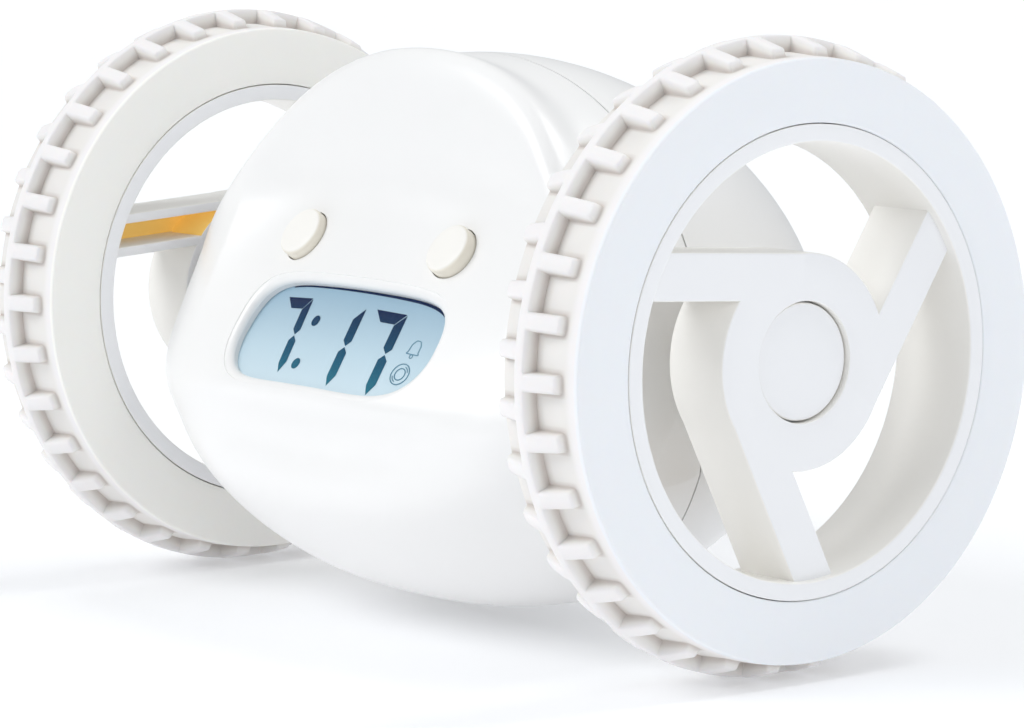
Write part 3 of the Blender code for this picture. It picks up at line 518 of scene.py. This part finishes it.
def shell_mesh(th0, th1, steps, stations, dy):
    """Closed half drum: fine outer skin, coarser inner skin, flat parting edge and end holes."""
    xe, hole, wall = BODY_HALF, 3.6, SHELL
    xi = xe - wall
    u = np.linspace(-1, 1, stations + 1)
    xo = xe * (0.35 * u + 0.65 * np.sin(u * math.pi / 2))
    th = np.linspace(th0, th1, steps + 1)
    e = AXLE_Z - BODY_Z
    verts, faces = [], []

    def bore(t):
        a = e * math.sin(t)
        return a + math.sqrt(hole * hole - (e * e - a * a))

    def add(x, r, t):
        verts.append((x, dy - r * math.cos(t), BODY_Z + r * math.sin(t)))
        return len(verts) - 1

    R = body_r(xo[None, :], th[:, None])
    # rounded drum edge, then the flat end with its hole
    outer = []
    for i, t in enumerate(th):
        b = bore(t)
        row = [add(-xe, b, t), add(-xe, b + 1.2, t)]
        row += [add(xo[j], max(R[i, j], b + 2.0), t) for j in range(stations + 1)]
        row += [add(xe, b + 1.2, t), add(xe, b, t)]
        outer.append(row)
    for i in range(steps):
        a, b = outer[i], outer[i + 1]
        for j in range(len(a) - 1):
            faces.append((a[j], a[j + 1], b[j + 1], b[j]))
    half = u[::2]
    xs = xi * (0.35 * half + 0.65 * np.sin(half * math.pi / 2))
    inner = []
    for t in th[::2]:
        b = bore(t)
        rr = np.maximum(body_r(xs * (xe + 0.6) / xi, np.full_like(xs, t)) - wall, b + 1.0)
        inner.append([add(-xi, b, t)] + [add(x, r, t) for x, r in zip(xs, rr)] + [add(xi, b, t)])
    for i in range(len(inner) - 1):
        a, b = inner[i], inner[i + 1]
        for j in range(len(a) - 1):
            faces.append((a[j], b[j], b[j + 1], a[j + 1]))
    # hole walls
    for k, ends in ((0, -1), (-1, 1)):
        for i in range(len(inner) - 1):
            o0, o1, o2 = (outer[2 * i + q][k] for q in range(3))
            n0, n1 = inner[i][k], inner[i + 1][k]
            tris = [(o0, o1, n0), (o1, n1, n0), (o1, o2, n1)]
            faces += tris if k == 0 else [t[::-1] for t in tris]
    # parting edges
    for oi, ii, flip in ((0, 0, False), (-1, -1, True)):
        o, n = outer[oi], inner[ii]
        m = len(n)
        strips = [(o[0], o[1], o[2], n[1], n[0])]
        for j in range(1, m - 2):
            p = 2 + 2 * (j - 1)
            strips.append((o[p], o[p + 1], o[p + 2], n[j + 1], n[j]))
        strips.append((o[-3], o[-2], o[-1], n[-1], n[-2]))
        faces += [s[::-1] if flip else s for s in strips]
    return verts, faces


def window_outline(x, grow=0.0):
    a = WINDOW_A + grow
    u = min(abs(x) / a, 1.0)
    top = WINDOW_V + (8.4 + grow) * (1 - u ** 7) ** (1 / 2.7)
    bot = WINDOW_V - (8.35 - (0.5 * u * u if x < 0 else 0.0) + grow) * (1 - u ** (7.0 if x < 0 else 5.0)) ** 0.5
    return top, bot


def outline_plate(grow, depth, thick, n=64):
    """Curved sheet with the outline of the display opening, parallel to the surface."""
    loops = []
    for j in range(n + 1):
        x = -0.998 * (WINDOW_A + grow) * math.cos(math.pi * j / n)
        t, b = window_outline(x, grow)
        s = PLATE_S - sag(x) - depth
        loops.append([face_point(x, b + (t - b) * k / 8, s) for k in range(9)] + [face_point(x, t - (t - b) * k / 8, s - thick) for k in range(9)])
    return rings(loops)


def surface_s(x, v):
    """Height of the shell surface above the drum axis, measured square to the display plane."""
    lo, hi = np.full(len(x), 15.0), np.full(len(x), 32.0)
    for _ in range(26):
        mid = (lo + hi) / 2
        y, z = P_N[1] * mid + P_V[1] * v, P_N[2] * mid + P_V[2] * v
        inside = np.hypot(y, z) < body_r(x, np.arctan2(z, -y))
        lo, hi = np.where(inside, mid, lo), np.where(inside, hi, mid)
    return (lo + hi) / 2


def window_cutter(fillet=1.25, n=48):
    """Prism with the outline of the display opening, flared at the surface so that the edge is rounded."""
    def outline(grow):
        top, bot = [], []
        for j in range(n + 1):
            x = -(WINDOW_A + grow) * math.cos(math.pi * j / n)
            t, b = window_outline(x, grow)
            top.append((x, t))
            if 0 < j < n:
                bot.append((x, b))
        return top + bot[::-1]

    loops = []
    levels = [(8.0, 0.0), (fillet, 0.0)]
    for k in range(1, 7):
        a = k / 6 * math.pi / 2
        levels.append((fillet * (1 - math.sin(a)), fillet * (1 - math.cos(a))))
    levels += [(-0.25, fillet + 0.12), (-6.0, fillet + 0.14)]
    for depth, grow in levels:
        pts = np.array(outline(grow))
        top_s = surface_s(pts[:, 0], pts[:, 1])
        loops.append([face_point(x, v, q - depth) for (x, v), q in zip(pts, top_s)])
    return rings(loops)


def stage_step(q):
    return q


front = mesh_object("front_cover", *shell_mesh(-math.pi / 2, math.pi / 2, 2 * (stage_step(180) // 2), 2 * (stage_step(150) // 2), -0.15), M["shell_white"])
rear = mesh_object("rear_cover", *shell_mesh(math.pi / 2, 3 * math.pi / 2, 2 * (stage_step(120) // 2), 2 * (stage_step(110) // 2), 0.15), M["shell_white"])

boolean(front, tool(outline_plate(1.3, 1.05, 0.6)), "UNION")
boolean(front, tool(window_cutter()), "DIFFERENCE")
for sx in (-1, 1):
    boolean(front, tool(post(face_point(sx * EYE_X, EYE_V, 12.0), P_N, [(0.0, EYE_R + 0.2), (24.0, EYE_R + 0.2)], 64)), "DIFFERENCE")

SCREWS = [(sx * x, z) for x, z in ((28.0, 70.0), (34.0, 15.5)) for sx in (-1, 1)]


def envelope(th0, th1, dy, steps=40, stations=30, inset=0.4):
    loops = []
    for j in range(stations + 1):
        x = -(BODY_HALF - inset) * math.cos(math.pi * j / stations)
        th = np.linspace(th0, th1, steps + 1)
        r = body_r(x, th) - inset
        loops.append([(x, dy - a * math.cos(t), BODY_Z + a * math.sin(t)) for a, t in zip(r, th)])
    return rings(loops)


for sx, z in SCREWS:
    tube = tool(post((sx, 0.15, z), (0, 1, 0), [(0.0, 3.6), (36.0, 3.6)], 32))
    boolean(tube, tool(envelope(math.pi / 2, 3 * math.pi / 2, 0.15)), "INTERSECT")
    boolean(rear, tube, "UNION")
for sx, z in SCREWS:
    boolean(rear, tool(post((sx, -1.0, z), (0, 1, 0), [(0.0, 1.6), (10.0, 1.6), (10.0, 2.7), (60.0, 2.7)], 32)), "DIFFERENCE")

DOOR_X, DOOR_LO, DOOR_HI, GAP = 24.8, 10.0, 37.0, 0.3
door = mesh_object("battery_cover", *shell_mesh(math.pi + 0.05, math.pi + 1.15, 40, 90, 0.15), M["shell_white"])
boolean(door, tool(block((-DOOR_X + GAP, 12.0, DOOR_LO + GAP), (DOOR_X - GAP, 60.0, DOOR_HI - GAP))), "INTERSECT")
boolean(rear, tool(block((-DOOR_X, 12.0, DOOR_LO), (DOOR_X, 60.0, DOOR_HI))), "DIFFERENCE")
SET_Z, SET_R = 53.0, 2.3
SET_X = (-22.0, -12.0, 12.0, 22.0)
for x in SET_X:
    boolean(rear, tool(post((x, 30.0, SET_Z), (0, 1, 0), [(0.0, SET_R + 0.25), (16.0, SET_R + 0.25)], 32)), "DIFFERENCE")
boolean(rear, tool(block((-5.0, 30.0, SET_Z - 1.6), (5.0, 46.0, SET_Z + 1.6))), "DIFFERENCE")
SPEAKER_DIR = (0.0, math.cos(math.radians(42)), math.sin(math.radians(42)))
for k in range(7):
    a = math.pi / 3 * k
    rr = 0.0 if k == 6 else 3.4
    hole = (rr * math.cos(a), 34.0 * SPEAKER_DIR[1] - rr * math.sin(a) * SPEAKER_DIR[2], BODY_Z + 34.0 * SPEAKER_DIR[2] + rr * math.sin(a) * SPEAKER_DIR[1])
    boolean(rear, tool(post(hole, SPEAKER_DIR, [(0.0, 0.8), (12.0, 0.8)], 16)), "DIFFERENCE")
for ob in (front, rear, door):
    shade(ob.data, 30)
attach(front, "clock_body")
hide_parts("front_shell")
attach(rear, "clock_body")
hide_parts("rear_shell")
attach(door, "battery_door_body")
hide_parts("battery_door")

# ------------------------------------------------------------------ face buttons
EYE_S = PLATE_S - float(sag(EYE_X))
for sx, name in ((-1, "snooze_button"), (1, "light_button")):
    top = EYE_S + 2.1
    edge = [(top - 0.55 * (1 - math.sin(a)), EYE_R - 0.55 * (1 - math.cos(a))) for a in (math.pi / 2 * k / 6 for k in range(7))]
    steps = [(EYE_S - 6.6, 1.6), (EYE_S - 4.6, 1.6), (EYE_S - 4.6, 5.2), (EYE_S - 3.9, 5.2), (EYE_S - 3.9, EYE_R), *edge, (top + 0.02, EYE_R - 2.2)]
    ob = mesh_object(name + "_cap", *post(face_point(sx * EYE_X, EYE_V, 0.0), P_N, steps, 64), M["button_cream"])
    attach(ob, name + "_body")
    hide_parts(name)

# ------------------------------------------------------------------ display
PANEL_DEPTH = 1.75
PANEL_S = PLATE_S - PANEL_DEPTH
ob = mesh_object("display_glass", *outline_plate(1.0, PANEL_DEPTH, 0.8), M["display"])
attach(ob, "clock_body")
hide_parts("display_panel")
ob = mesh_object("display_lens", *outline_plate(-0.06, 0.8, 0.8), M["clear_window"])
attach(ob, "clock_body")
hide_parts("display_window")


def on_panel(x, v, up=0.0):
    return face_point(x, v, PANEL_S - sag(x) + up)


def plate(poly, thick=0.05, up=0.02):
    """Thin shape lying on the display panel."""
    return rings([[on_panel(x, v, up) for x, v in poly], [on_panel(x, v, up + thick) for x, v in poly]])


STROKE = 1.85


def digit(x0, top, h, w, slant, segs):
    """Seven-segment digit as thin plates: a is the top bar, b and c the right-hand bars."""
    st = STROKE
    seg = {
        "a": [(0.25, 0.0), (w - 0.15, 0.0), (w - st - 0.05, st), (st + 0.25, st)],
        "b": [(w, 0.2), (w, h / 2 - st / 2 - 0.05), (w - st / 2, h / 2 - 0.12), (w - st, h / 2 - st / 2 - 0.05), (w - st, st + 0.2)],
        "c": [(w - st / 2, h / 2 + 0.12), (w, h / 2 + st / 2 + 0.05), (w, h - st), (w - st / 2 - 0.2, h), (w - st, h - st * 0.8), (w - st, h / 2 + st / 2 + 0.05)],
    }
    return [plate([(x0 + a - slant * b, top - b) for a, b in seg[q]]) for q in segs]


def joined(parts):
    verts, faces = [], []
    for v, f in parts:
        k = len(verts)
        verts += v
        faces += [tuple(i + k for i in q) for q in f]
    return verts, faces


digits = digit(-17.25, -10.3, 12.7, 7.05, -0.185, "abc") + digit(-2.85, -10.85, 13.15, 6.6, -0.115, "bc") + digit(5.95, -10.75, 13.45, 7.1, -0.1, "abc")
for cx, cv in ((-6.49, -13.95), (-5.6, -21.27)):
    digits.append(plate([(cx + 0.9 * math.cos(2 * math.pi * k / 28), cv + 0.9 * math.sin(2 * math.pi * k / 28)) for k in range(28)]))
# Painted shadow: a thin dark strip in the segment colour along the top edge of the opening, widening to the right,
# stands in for the shadow the top lip casts on the panel.
edge = []
for k in range(41):
    x = -17.0 + 38.6 * k / 40
    t = window_outline(x)[0] + 0.1
    w = 0.30 + 0.32 * k / 40
    edge.append([on_panel(x, t, 0.02), on_panel(x, t - w, 0.02), on_panel(x, t - w, 0.05), on_panel(x, t, 0.05)])
digits.append(rings(edge))
ob = mesh_object("display_digits_and_lip_shadow", *joined(digits), SEGMENT_AND_SHADOW_INK, 0)
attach(ob, "clock_body")


def stroke(path, width, closed=True):
    """Thin outline drawn on the panel along a path of (x, v)."""
    pts = [np.array(p, float) for p in path]
    n = len(pts)
    left, right = [], []
    for i in range(n):
        a = pts[i - 1] if closed or i else pts[i]
        b = pts[(i + 1) % n] if closed or i < n - 1 else pts[i]
        t = (b - a) / max(np.linalg.norm(b - a), 1e-9)
        nrm = np.array((-t[1], t[0])) * width / 2
        left.append(pts[i] + nrm)
        right.append(pts[i] - nrm)
    loops = []
    for l, r in zip(left, right):
        loops.append([on_panel(l[0], l[1], 0.02), on_panel(r[0], r[1], 0.02), on_panel(r[0], r[1], 0.06), on_panel(l[0], l[1], 0.06)])
    return rings(loops, closed_u=closed)


def circle(cx, cv, r, n=32, a0=0.0, a1=360.0):
    return [(cx + r * math.cos(math.radians(a0 + (a1 - a0) * k / n)), cv + r * math.sin(math.radians(a0 + (a1 - a0) * k / n))) for k in range(n)]


RX, RV = 17.73, -19.98
icons = [stroke(circle(RX, RV, 1.7), 0.17), stroke(circle(RX, RV, 0.95), 0.17),
         stroke(circle(RX, RV, 1.33, 8, 20, 80), 0.14, False), stroke(circle(RX, RV, 1.33, 8, 200, 260), 0.14, False)]
bell = [(16.6, -16.6), (16.95, -16.3), (17.05, -15.1), (17.6, -14.35), (18.4, -14.35), (18.9, -15.1), (19.0, -16.3), (19.35, -16.6)]
icons.append(stroke(rounded(bell, 0.35), 0.15))
icons.append(stroke(circle(18.0, -16.95, 0.3, 16), 0.13))
ob = mesh_object("display_icons", *joined(icons), ICONS, 0)
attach(ob, "clock_body")


# ------------------------------------------------------------------ wheels
def tyre_mesh(rib_x):
    """Tyre skin as a fine height field round the wheel; also gives a painted shade value for each point: 0 on the
    sidewalls, light on the bar tops, darker on the tread floor and darkest next to the pocket walls.
    """
    hw, step = 1.36, 180.0 / BARS
    sector = [-step / 2, -2.25, -1.98, -1.87, -1.78, -1.70, -1.55, -1.0, 0.0, 1.0, 1.55, 1.70, 1.78, 1.87, 1.98, 2.25]
    minus = [0.6, 0.88, 0.97, 1.05, 1.13, 1.25, 1.6, 2.6, 3.8, 4.8, 5.3, 5.55, 5.72, 5.84, 5.93, 6.0]
    plus = [0.6, 0.88, 0.97, 1.05, 1.13, 1.25, 1.6, 2.6, 3.8, 4.8, 5.4, 5.72, 5.92, 6.05, 6.17, 6.3, 6.6, 7.2, 7.9]
    xs = np.array([-a for a in minus[::-1]] + [0.0] + plus)
    ax = np.abs(xs)
    ground = 42.3 + np.where(xs > 0, (41.65 - 42.3) * xs / TYRE_PLUS, (41.9 - 42.3) * ax / TYRE_MINUS)
    crown = 44.5 - 1.45 * np.clip((ax - 1.05) / 5.0, 0, 1) ** 1.15
    sh = 0.35
    right = [(TYRE_PLUS - sh + sh * math.sin(a), 41.65 - sh + sh * math.cos(a)) for a in (math.pi / 2 * k / 5 for k in range(6))]
    right += [(TYRE_PLUS, 38.5), (TYRE_PLUS, 35.5), (TYRE_PLUS, SEAM_R + 0.35), (TYRE_PLUS - 0.08, SEAM_R + 0.16), (TYRE_PLUS - 0.3, SEAM_R + 0.10)]
    left = [(-TYRE_MINUS + 0.3, SEAM_R + 0.10), (-TYRE_MINUS + 0.08, SEAM_R + 0.16), (-TYRE_MINUS, SEAM_R + 0.35), (-TYRE_MINUS, 35.0), (-TYRE_MINUS, 38.0), (-TYRE_MINUS, 41.5)]
    verts, depth, faces = [], [], []
    ncol = len(left) + len(xs) + len(right)
    n = 0
    for k in range(2 * BARS):
        mine = (xs < 0) if k % 2 == 0 else (xs > 0)
        end = 5.95 if k % 2 == 0 else 6.12
        for a in sector:
            cr = 0.55
            d = cr - np.hypot(np.maximum(ax - (end - cr), 0), max(abs(math.radians(a) * 44.0) - (hw - cr), 0))
            d = np.where(mine, d, -5.0)
            hb = smooth01((d + 0.10) / 0.34)
            hr = smooth01((RIB_HALF - ax + 0.08) / 0.30)
            r = ground + np.maximum(hb * (crown - ground), hr * (44.5 - ground))
            up = np.maximum(hb, hr)
            # Painted shade: tops get 0.24, the floor 0.52 rising to 0.94 next to the rib and bar walls, easing back
            # toward the sidewall value past the shoulder.
            pocket_wall_shade = np.exp(-np.minimum(np.abs(ax - RIB_HALF), np.abs(d)) / 0.5)
            tone = 0.24 * up + (1 - up) * (0.52 + 0.42 * pocket_wall_shade)
            tone = np.where(ax > 6.3, tone * (1 - 0.6 * smooth01((ax - 6.3) / 1.8)), tone)
            ang = math.radians(-90 + step * k + a)
            ca, sa = math.cos(ang), math.sin(ang)
            line = [(q, w, 0.0) for q, w in left] + list(zip(xs, r, tone)) + [(q, w, 0.0) for q, w in right]
            for q, w, t in line:
                verts.append((rib_x + q, w * ca, AXLE_Z + w * sa))
                depth.append(float(t))
            n += 1
    for i in range(n):
        a, b = i * ncol, ((i + 1) % n) * ncol
        for j in range(ncol):
            k = (j + 1) % ncol
            faces.append((a + j, a + k, b + k, b + j))
    return verts, faces, depth


def tyre_object(name, s):
    v, f, depth = tyre_mesh(s * RIB_X)
    me = bpy.data.meshes.new(name)
    me.from_pydata([((p[0] - MID_X) * MM, p[1] * MM, p[2] * MM) for p in v], [], f)
    # The painted shade value is stored in the 'depth' attribute that the tread material reads.
    at = me.attributes.new("depth", "FLOAT", "POINT")
    at.data.foreach_set("value", depth)
    bm = bmesh.new()
    bm.from_mesh(me)
    bmesh.ops.recalc_face_normals(bm, faces=bm.faces)
    bm.to_mesh(me)
    bm.free()
    me.materials.append(M["tread_rubber"] if s > 0 else TREAD_FAR_SHADED)
    shade(me, 60)
    ob = bpy.data.objects.new(name, me)
    bpy.context.scene.collection.objects.link(ob)
    return ob


def spoke_axes(k, phase):
    a = math.pi + phase - 2 * math.pi / 3 * k
    return (math.cos(a), math.sin(a)), (math.cos(a - math.pi / 2), math.sin(a - math.pi / 2))


def spoke_solid(k, phase, face):
    f = face - FACE_RECESS
    lo, hi, deep = SPOKE_LO, SPOKE_HI, BOSS_DEPTH
    d, o = spoke_axes(k, phase)
    prof = [(f, lo), (f, hi), (f - deep, hi), (f - deep, hi - SKIN), (f - WEB, hi - SKIN), (f - WEB, lo + SKIN), (f - deep, lo + SKIN), (f - deep, lo)]

    def at(x, along, off):
        return (x, d[0] * along + o[0] * off, AXLE_Z + d[1] * along + o[1] * off)

    return rings([[at(x, math.sqrt(max((BOSS_R - 0.8) ** 2 - q * q, 0.0)), q) for x, q in prof],
                  [at(x, math.sqrt((RIM_LIP_R + 0.7) ** 2 - q * q), q) for x, q in prof]])


def rim_object(name, s):
    f = FACE_X[s]
    seg = 144
    flip = (lambda q: q) if s > 0 else mirror_x
    ring = rounded([(f, RIM_LIP_R, 0.35), (f, SEAM_R - 0.03, 0.12), (f - RIM_DEPTH, SEAM_R - 0.03, 0.12), (f - RIM_DEPTH, RIM_LIP_R, 0.3)], 0.3)
    boss = rounded([(f - FACE_RECESS, CAP_R + 0.15, 0.18), (f - FACE_RECESS, BOSS_R, 0.3), (f - FACE_RECESS - BOSS_DEPTH, BOSS_R, 0.3),
                    (f - FACE_RECESS - BOSS_DEPTH, BOSS_R - SKIN, 0.3), (f - FACE_RECESS - 4.2, BOSS_R - SKIN, 0.5), (f - FACE_RECESS - 4.2, 3.8, 0.4),
                    (f - 15.5, 3.8, 0.2), (f - 15.5, 1.55, 0), (f - FACE_RECESS - 2.5, 1.55, 0), (f - FACE_RECESS - 2.5, CAP_R + 0.15, 0)], 0.3, 3)
    rim = mesh_object(name, *flip(lathe_ring(ring, 0, AXLE_Z, seg)), [M["wheel_white"], SPOKE_AMBER_GLOW])
    hub = tool(flip(lathe_ring(boss, 0, AXLE_Z, seg // 2)))
    for k in range(3):
        sp = tool(flip(spoke_solid(k, RIM_PHASE[s], f)))
        bevelled(sp, 0.3, 2, 30)
        boolean(hub, sp, "UNION")
    boolean(rim, hub, "UNION")
    me = rim.data
    floor_x = (s * (f - FACE_RECESS - WEB) - MID_X) * MM
    for p in me.polygons:
        c, nrm = p.center, p.normal
        y, z = c.y / MM, c.z / MM - AXLE_Z
        r = math.hypot(y, z)
        if abs(c.x - floor_x) < 0.0002 and nrm.x * s < -0.9 and r > BOSS_R - SKIN:
            p.material_index = 1
        elif abs(r - BOSS_R) < 0.35 and abs(nrm.x) < 0.5:
            for k in range(3):
                d, o = spoke_axes(k, RIM_PHASE[s])
                if d[0] * y + d[1] * z > 0 and SPOKE_LO + SKIN - 0.2 < o[0] * y + o[1] * z < SPOKE_HI - SKIN + 0.2:
                    p.material_index = 1
    shade(me, 32)
    return rim


for s, side in ((1, "right"), (-1, "left")):
    flip = (lambda q: q) if s > 0 else mirror_x
    f = FACE_X[s]
    body = "wheel_" + side
    ty = tyre_object("tyre_tread_" + side, s)
    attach(ty, body)
    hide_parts("tyre_" + side)
    rm = rim_object("wheel_spokes_" + side, s)
    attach(rm, body)
    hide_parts("wheel_rim_" + side)
    cap = [(f - 3.7, CAP_R - 0.15), (f - 2.2 - 0.35, CAP_R - 0.15)] + [(f - 2.2 - 0.35 * (1 - math.sin(a)), CAP_R - 0.15 - 0.35 * (1 - math.cos(a))) for a in (math.pi / 2 * k / 4 for k in range(1, 5))]
    cap.append((f - 2.18, CAP_R - 4.0))
    cp = mesh_object("hub_disc_" + side, *flip(disc_stack(cap, 0, AXLE_Z, 72)), M["wheel_white"])
    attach(cp, body)
    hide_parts("hub_cap_" + side)

# ------------------------------------------------------------------ carried-over pieces
rec_slots = {q["node"]: q["material_slot"] for q in frame["record"]["subparts"]}
for node, ob in frame["nodes"].items():
    if ob.hide_render:
        continue
    ob.data.materials.clear()
    ob.data.materials.append(M[rec_slots[node]])

# ------------------------------------------------------------------ floor, light, camera
bpy.ops.mesh.primitive_plane_add(size=4.0, location=(0, 0, -0.00002))
floor = bpy.context.object
floor.name = "studio_floor"
fm, nt, b = shader("studio_floor_white")
tc = nt.nodes.new("ShaderNodeTexCoord")
nz = nt.nodes.new("ShaderNodeTexNoise")
nz.inputs["Scale"].default_value = 6.0
nt.links.new(tc.outputs["Object"], nz.inputs["Vector"])
rp = nt.nodes.new("ShaderNodeValToRGB")
rp.color_ramp.elements[0].color = (0.77, 0.775, 0.79, 1)
rp.color_ramp.elements[1].color = (0.79, 0.795, 0.81, 1)
nt.links.new(nz.outputs["Fac"], rp.inputs["Fac"])
nt.links.new(rp.outputs["Color"], b.inputs["Base Color"])
b.inputs["Roughness"].default_value = 0.55
b.inputs["Specular IOR Level"].default_value = 0.2
glow = nt.nodes.new("ShaderNodeEmission")
glow.inputs["Color"].default_value = (0.97, 0.985, 1.0, 1)
glow.inputs["Strength"].default_value = 0.245
bounce = nt.nodes.new("ShaderNodeEmission")
bounce.inputs["Color"].default_value = (0.98, 0.985, 1.0, 1)
bounce.inputs["Strength"].default_value = 0.26
lit = nt.nodes.new("ShaderNodeAddShader")
nt.links.new(b.outputs[0], lit.inputs[0])
nt.links.new(bounce.outputs[0], lit.inputs[1])
seen, both, out_mix = nt.nodes.new("ShaderNodeLightPath"), nt.nodes.new("ShaderNodeAddShader"), nt.nodes.new("ShaderNodeMixShader")
nt.links.new(b.outputs[0], both.inputs[0])
nt.links.new(glow.outputs[0], both.inputs[1])
nt.links.new(seen.outputs["Is Camera Ray"], out_mix.inputs["Fac"])
nt.links.new(lit.outputs[0], out_mix.inputs[1])
nt.links.new(both.outputs[0], out_mix.inputs[2])
nt.links.new(out_mix.outputs[0], nt.nodes["Material Output"].inputs["Surface"])
floor.data.materials.append(fm)

world = bpy.data.worlds.new("studio")
bpy.context.scene.world = world
world.use_nodes = True
wn = world.node_tree
bg = wn.nodes["Background"]
wtc = wn.nodes.new("ShaderNodeTexCoord")
sep = wn.nodes.new("ShaderNodeSeparateXYZ")
wn.links.new(wtc.outputs["Generated"], sep.inputs["Vector"])
sky = wn.nodes.new("ShaderNodeValToRGB")
sky.color_ramp.interpolation = "EASE"
se = sky.color_ramp.elements
se[0].position, se[0].color = 0.0, (0.66, 0.69, 0.72, 1)
se[1].position, se[1].color = 0.9, (0.98, 0.99, 1.0, 1)
wn.links.new(sep.outputs["Z"], sky.inputs["Fac"])
wn.links.new(sky.outputs["Color"], bg.inputs["Color"])
bg.inputs["Strength"].default_value = 0.66
backdrop = wn.nodes.new("ShaderNodeBackground")
backdrop.inputs["Color"].default_value = (1, 1, 1, 1)
backdrop.inputs["Strength"].default_value = 1.1
path = wn.nodes.new("ShaderNodeLightPath")
wmix = wn.nodes.new("ShaderNodeMixShader")
wn.links.new(path.outputs["Is Camera Ray"], wmix.inputs["Fac"])
wn.links.new(bg.outputs[0], wmix.inputs[1])
wn.links.new(backdrop.outputs[0], wmix.inputs[2])
wn.links.new(wmix.outputs[0], wn.nodes["World Output"].inputs["Surface"])


def area(name, loc, target, size, power, color=(1, 1, 1)):
    ld = bpy.data.lights.new(name, "AREA")
    ld.shape = "RECTANGLE"
    ld.size, ld.size_y = size
    ld.energy = power
    ld.color = color
    ob = bpy.data.objects.new(name, ld)
    ob.location = loc
    ob.rotation_mode = "QUATERNION"
    ob.rotation_quaternion = (Vector(target) - Vector(loc)).to_track_quat("-Z", "Y")
    bpy.context.scene.collection.objects.link(ob)
    return ob


def broad(name, loc, strength, angle, color):
    ld = bpy.data.lights.new(name, "SUN")
    ld.energy = strength
    ld.angle = math.radians(angle)
    ld.color = color
    ob = bpy.data.objects.new(name, ld)
    ob.location = loc
    ob.rotation_mode = "QUATERNION"
    ob.rotation_quaternion = (-Vector(loc)).to_track_quat("-Z", "Y")
    bpy.context.scene.collection.objects.link(ob)
    return ob


broad("back_light", (0.10, 0.46, 0.85), 0.72, 22, (0.98, 0.99, 1.0))
broad("front_light", (-0.40, -0.72, 0.62), 1.27, 35, (0.98, 0.99, 1.0))
area("side_softbox", (0.90, 0.10, 0.40), (0, 0, 0.04), (0.6, 0.5), 1.3, (0.95, 0.975, 1.0))

cam_data = bpy.data.cameras.new("camera")
cam = bpy.data.objects.new("camera", cam_data)
bpy.context.scene.collection.objects.link(cam)
az, el = math.radians(51.4057), math.radians(6.9082)
back = Vector((math.sin(az) * math.cos(el), -math.cos(az) * math.cos(el), math.sin(el)))
cam.location = (0.484647, -0.382555, 0.112500)
cam.rotation_mode = "QUATERNION"
cam.rotation_quaternion = (-back).to_track_quat("-Z", "Y")
cam_data.sensor_width = 36.0
cam_data.lens = 145.706
cam_data.clip_start, cam_data.clip_end = 0.01, 20.0
bpy.context.scene.camera = cam
bpy.context.scene.view_settings.view_transform = "Standard"
bpy.context.scene.view_settings.look = "None"
bpy.context.scene.view_settings.exposure = 0.0
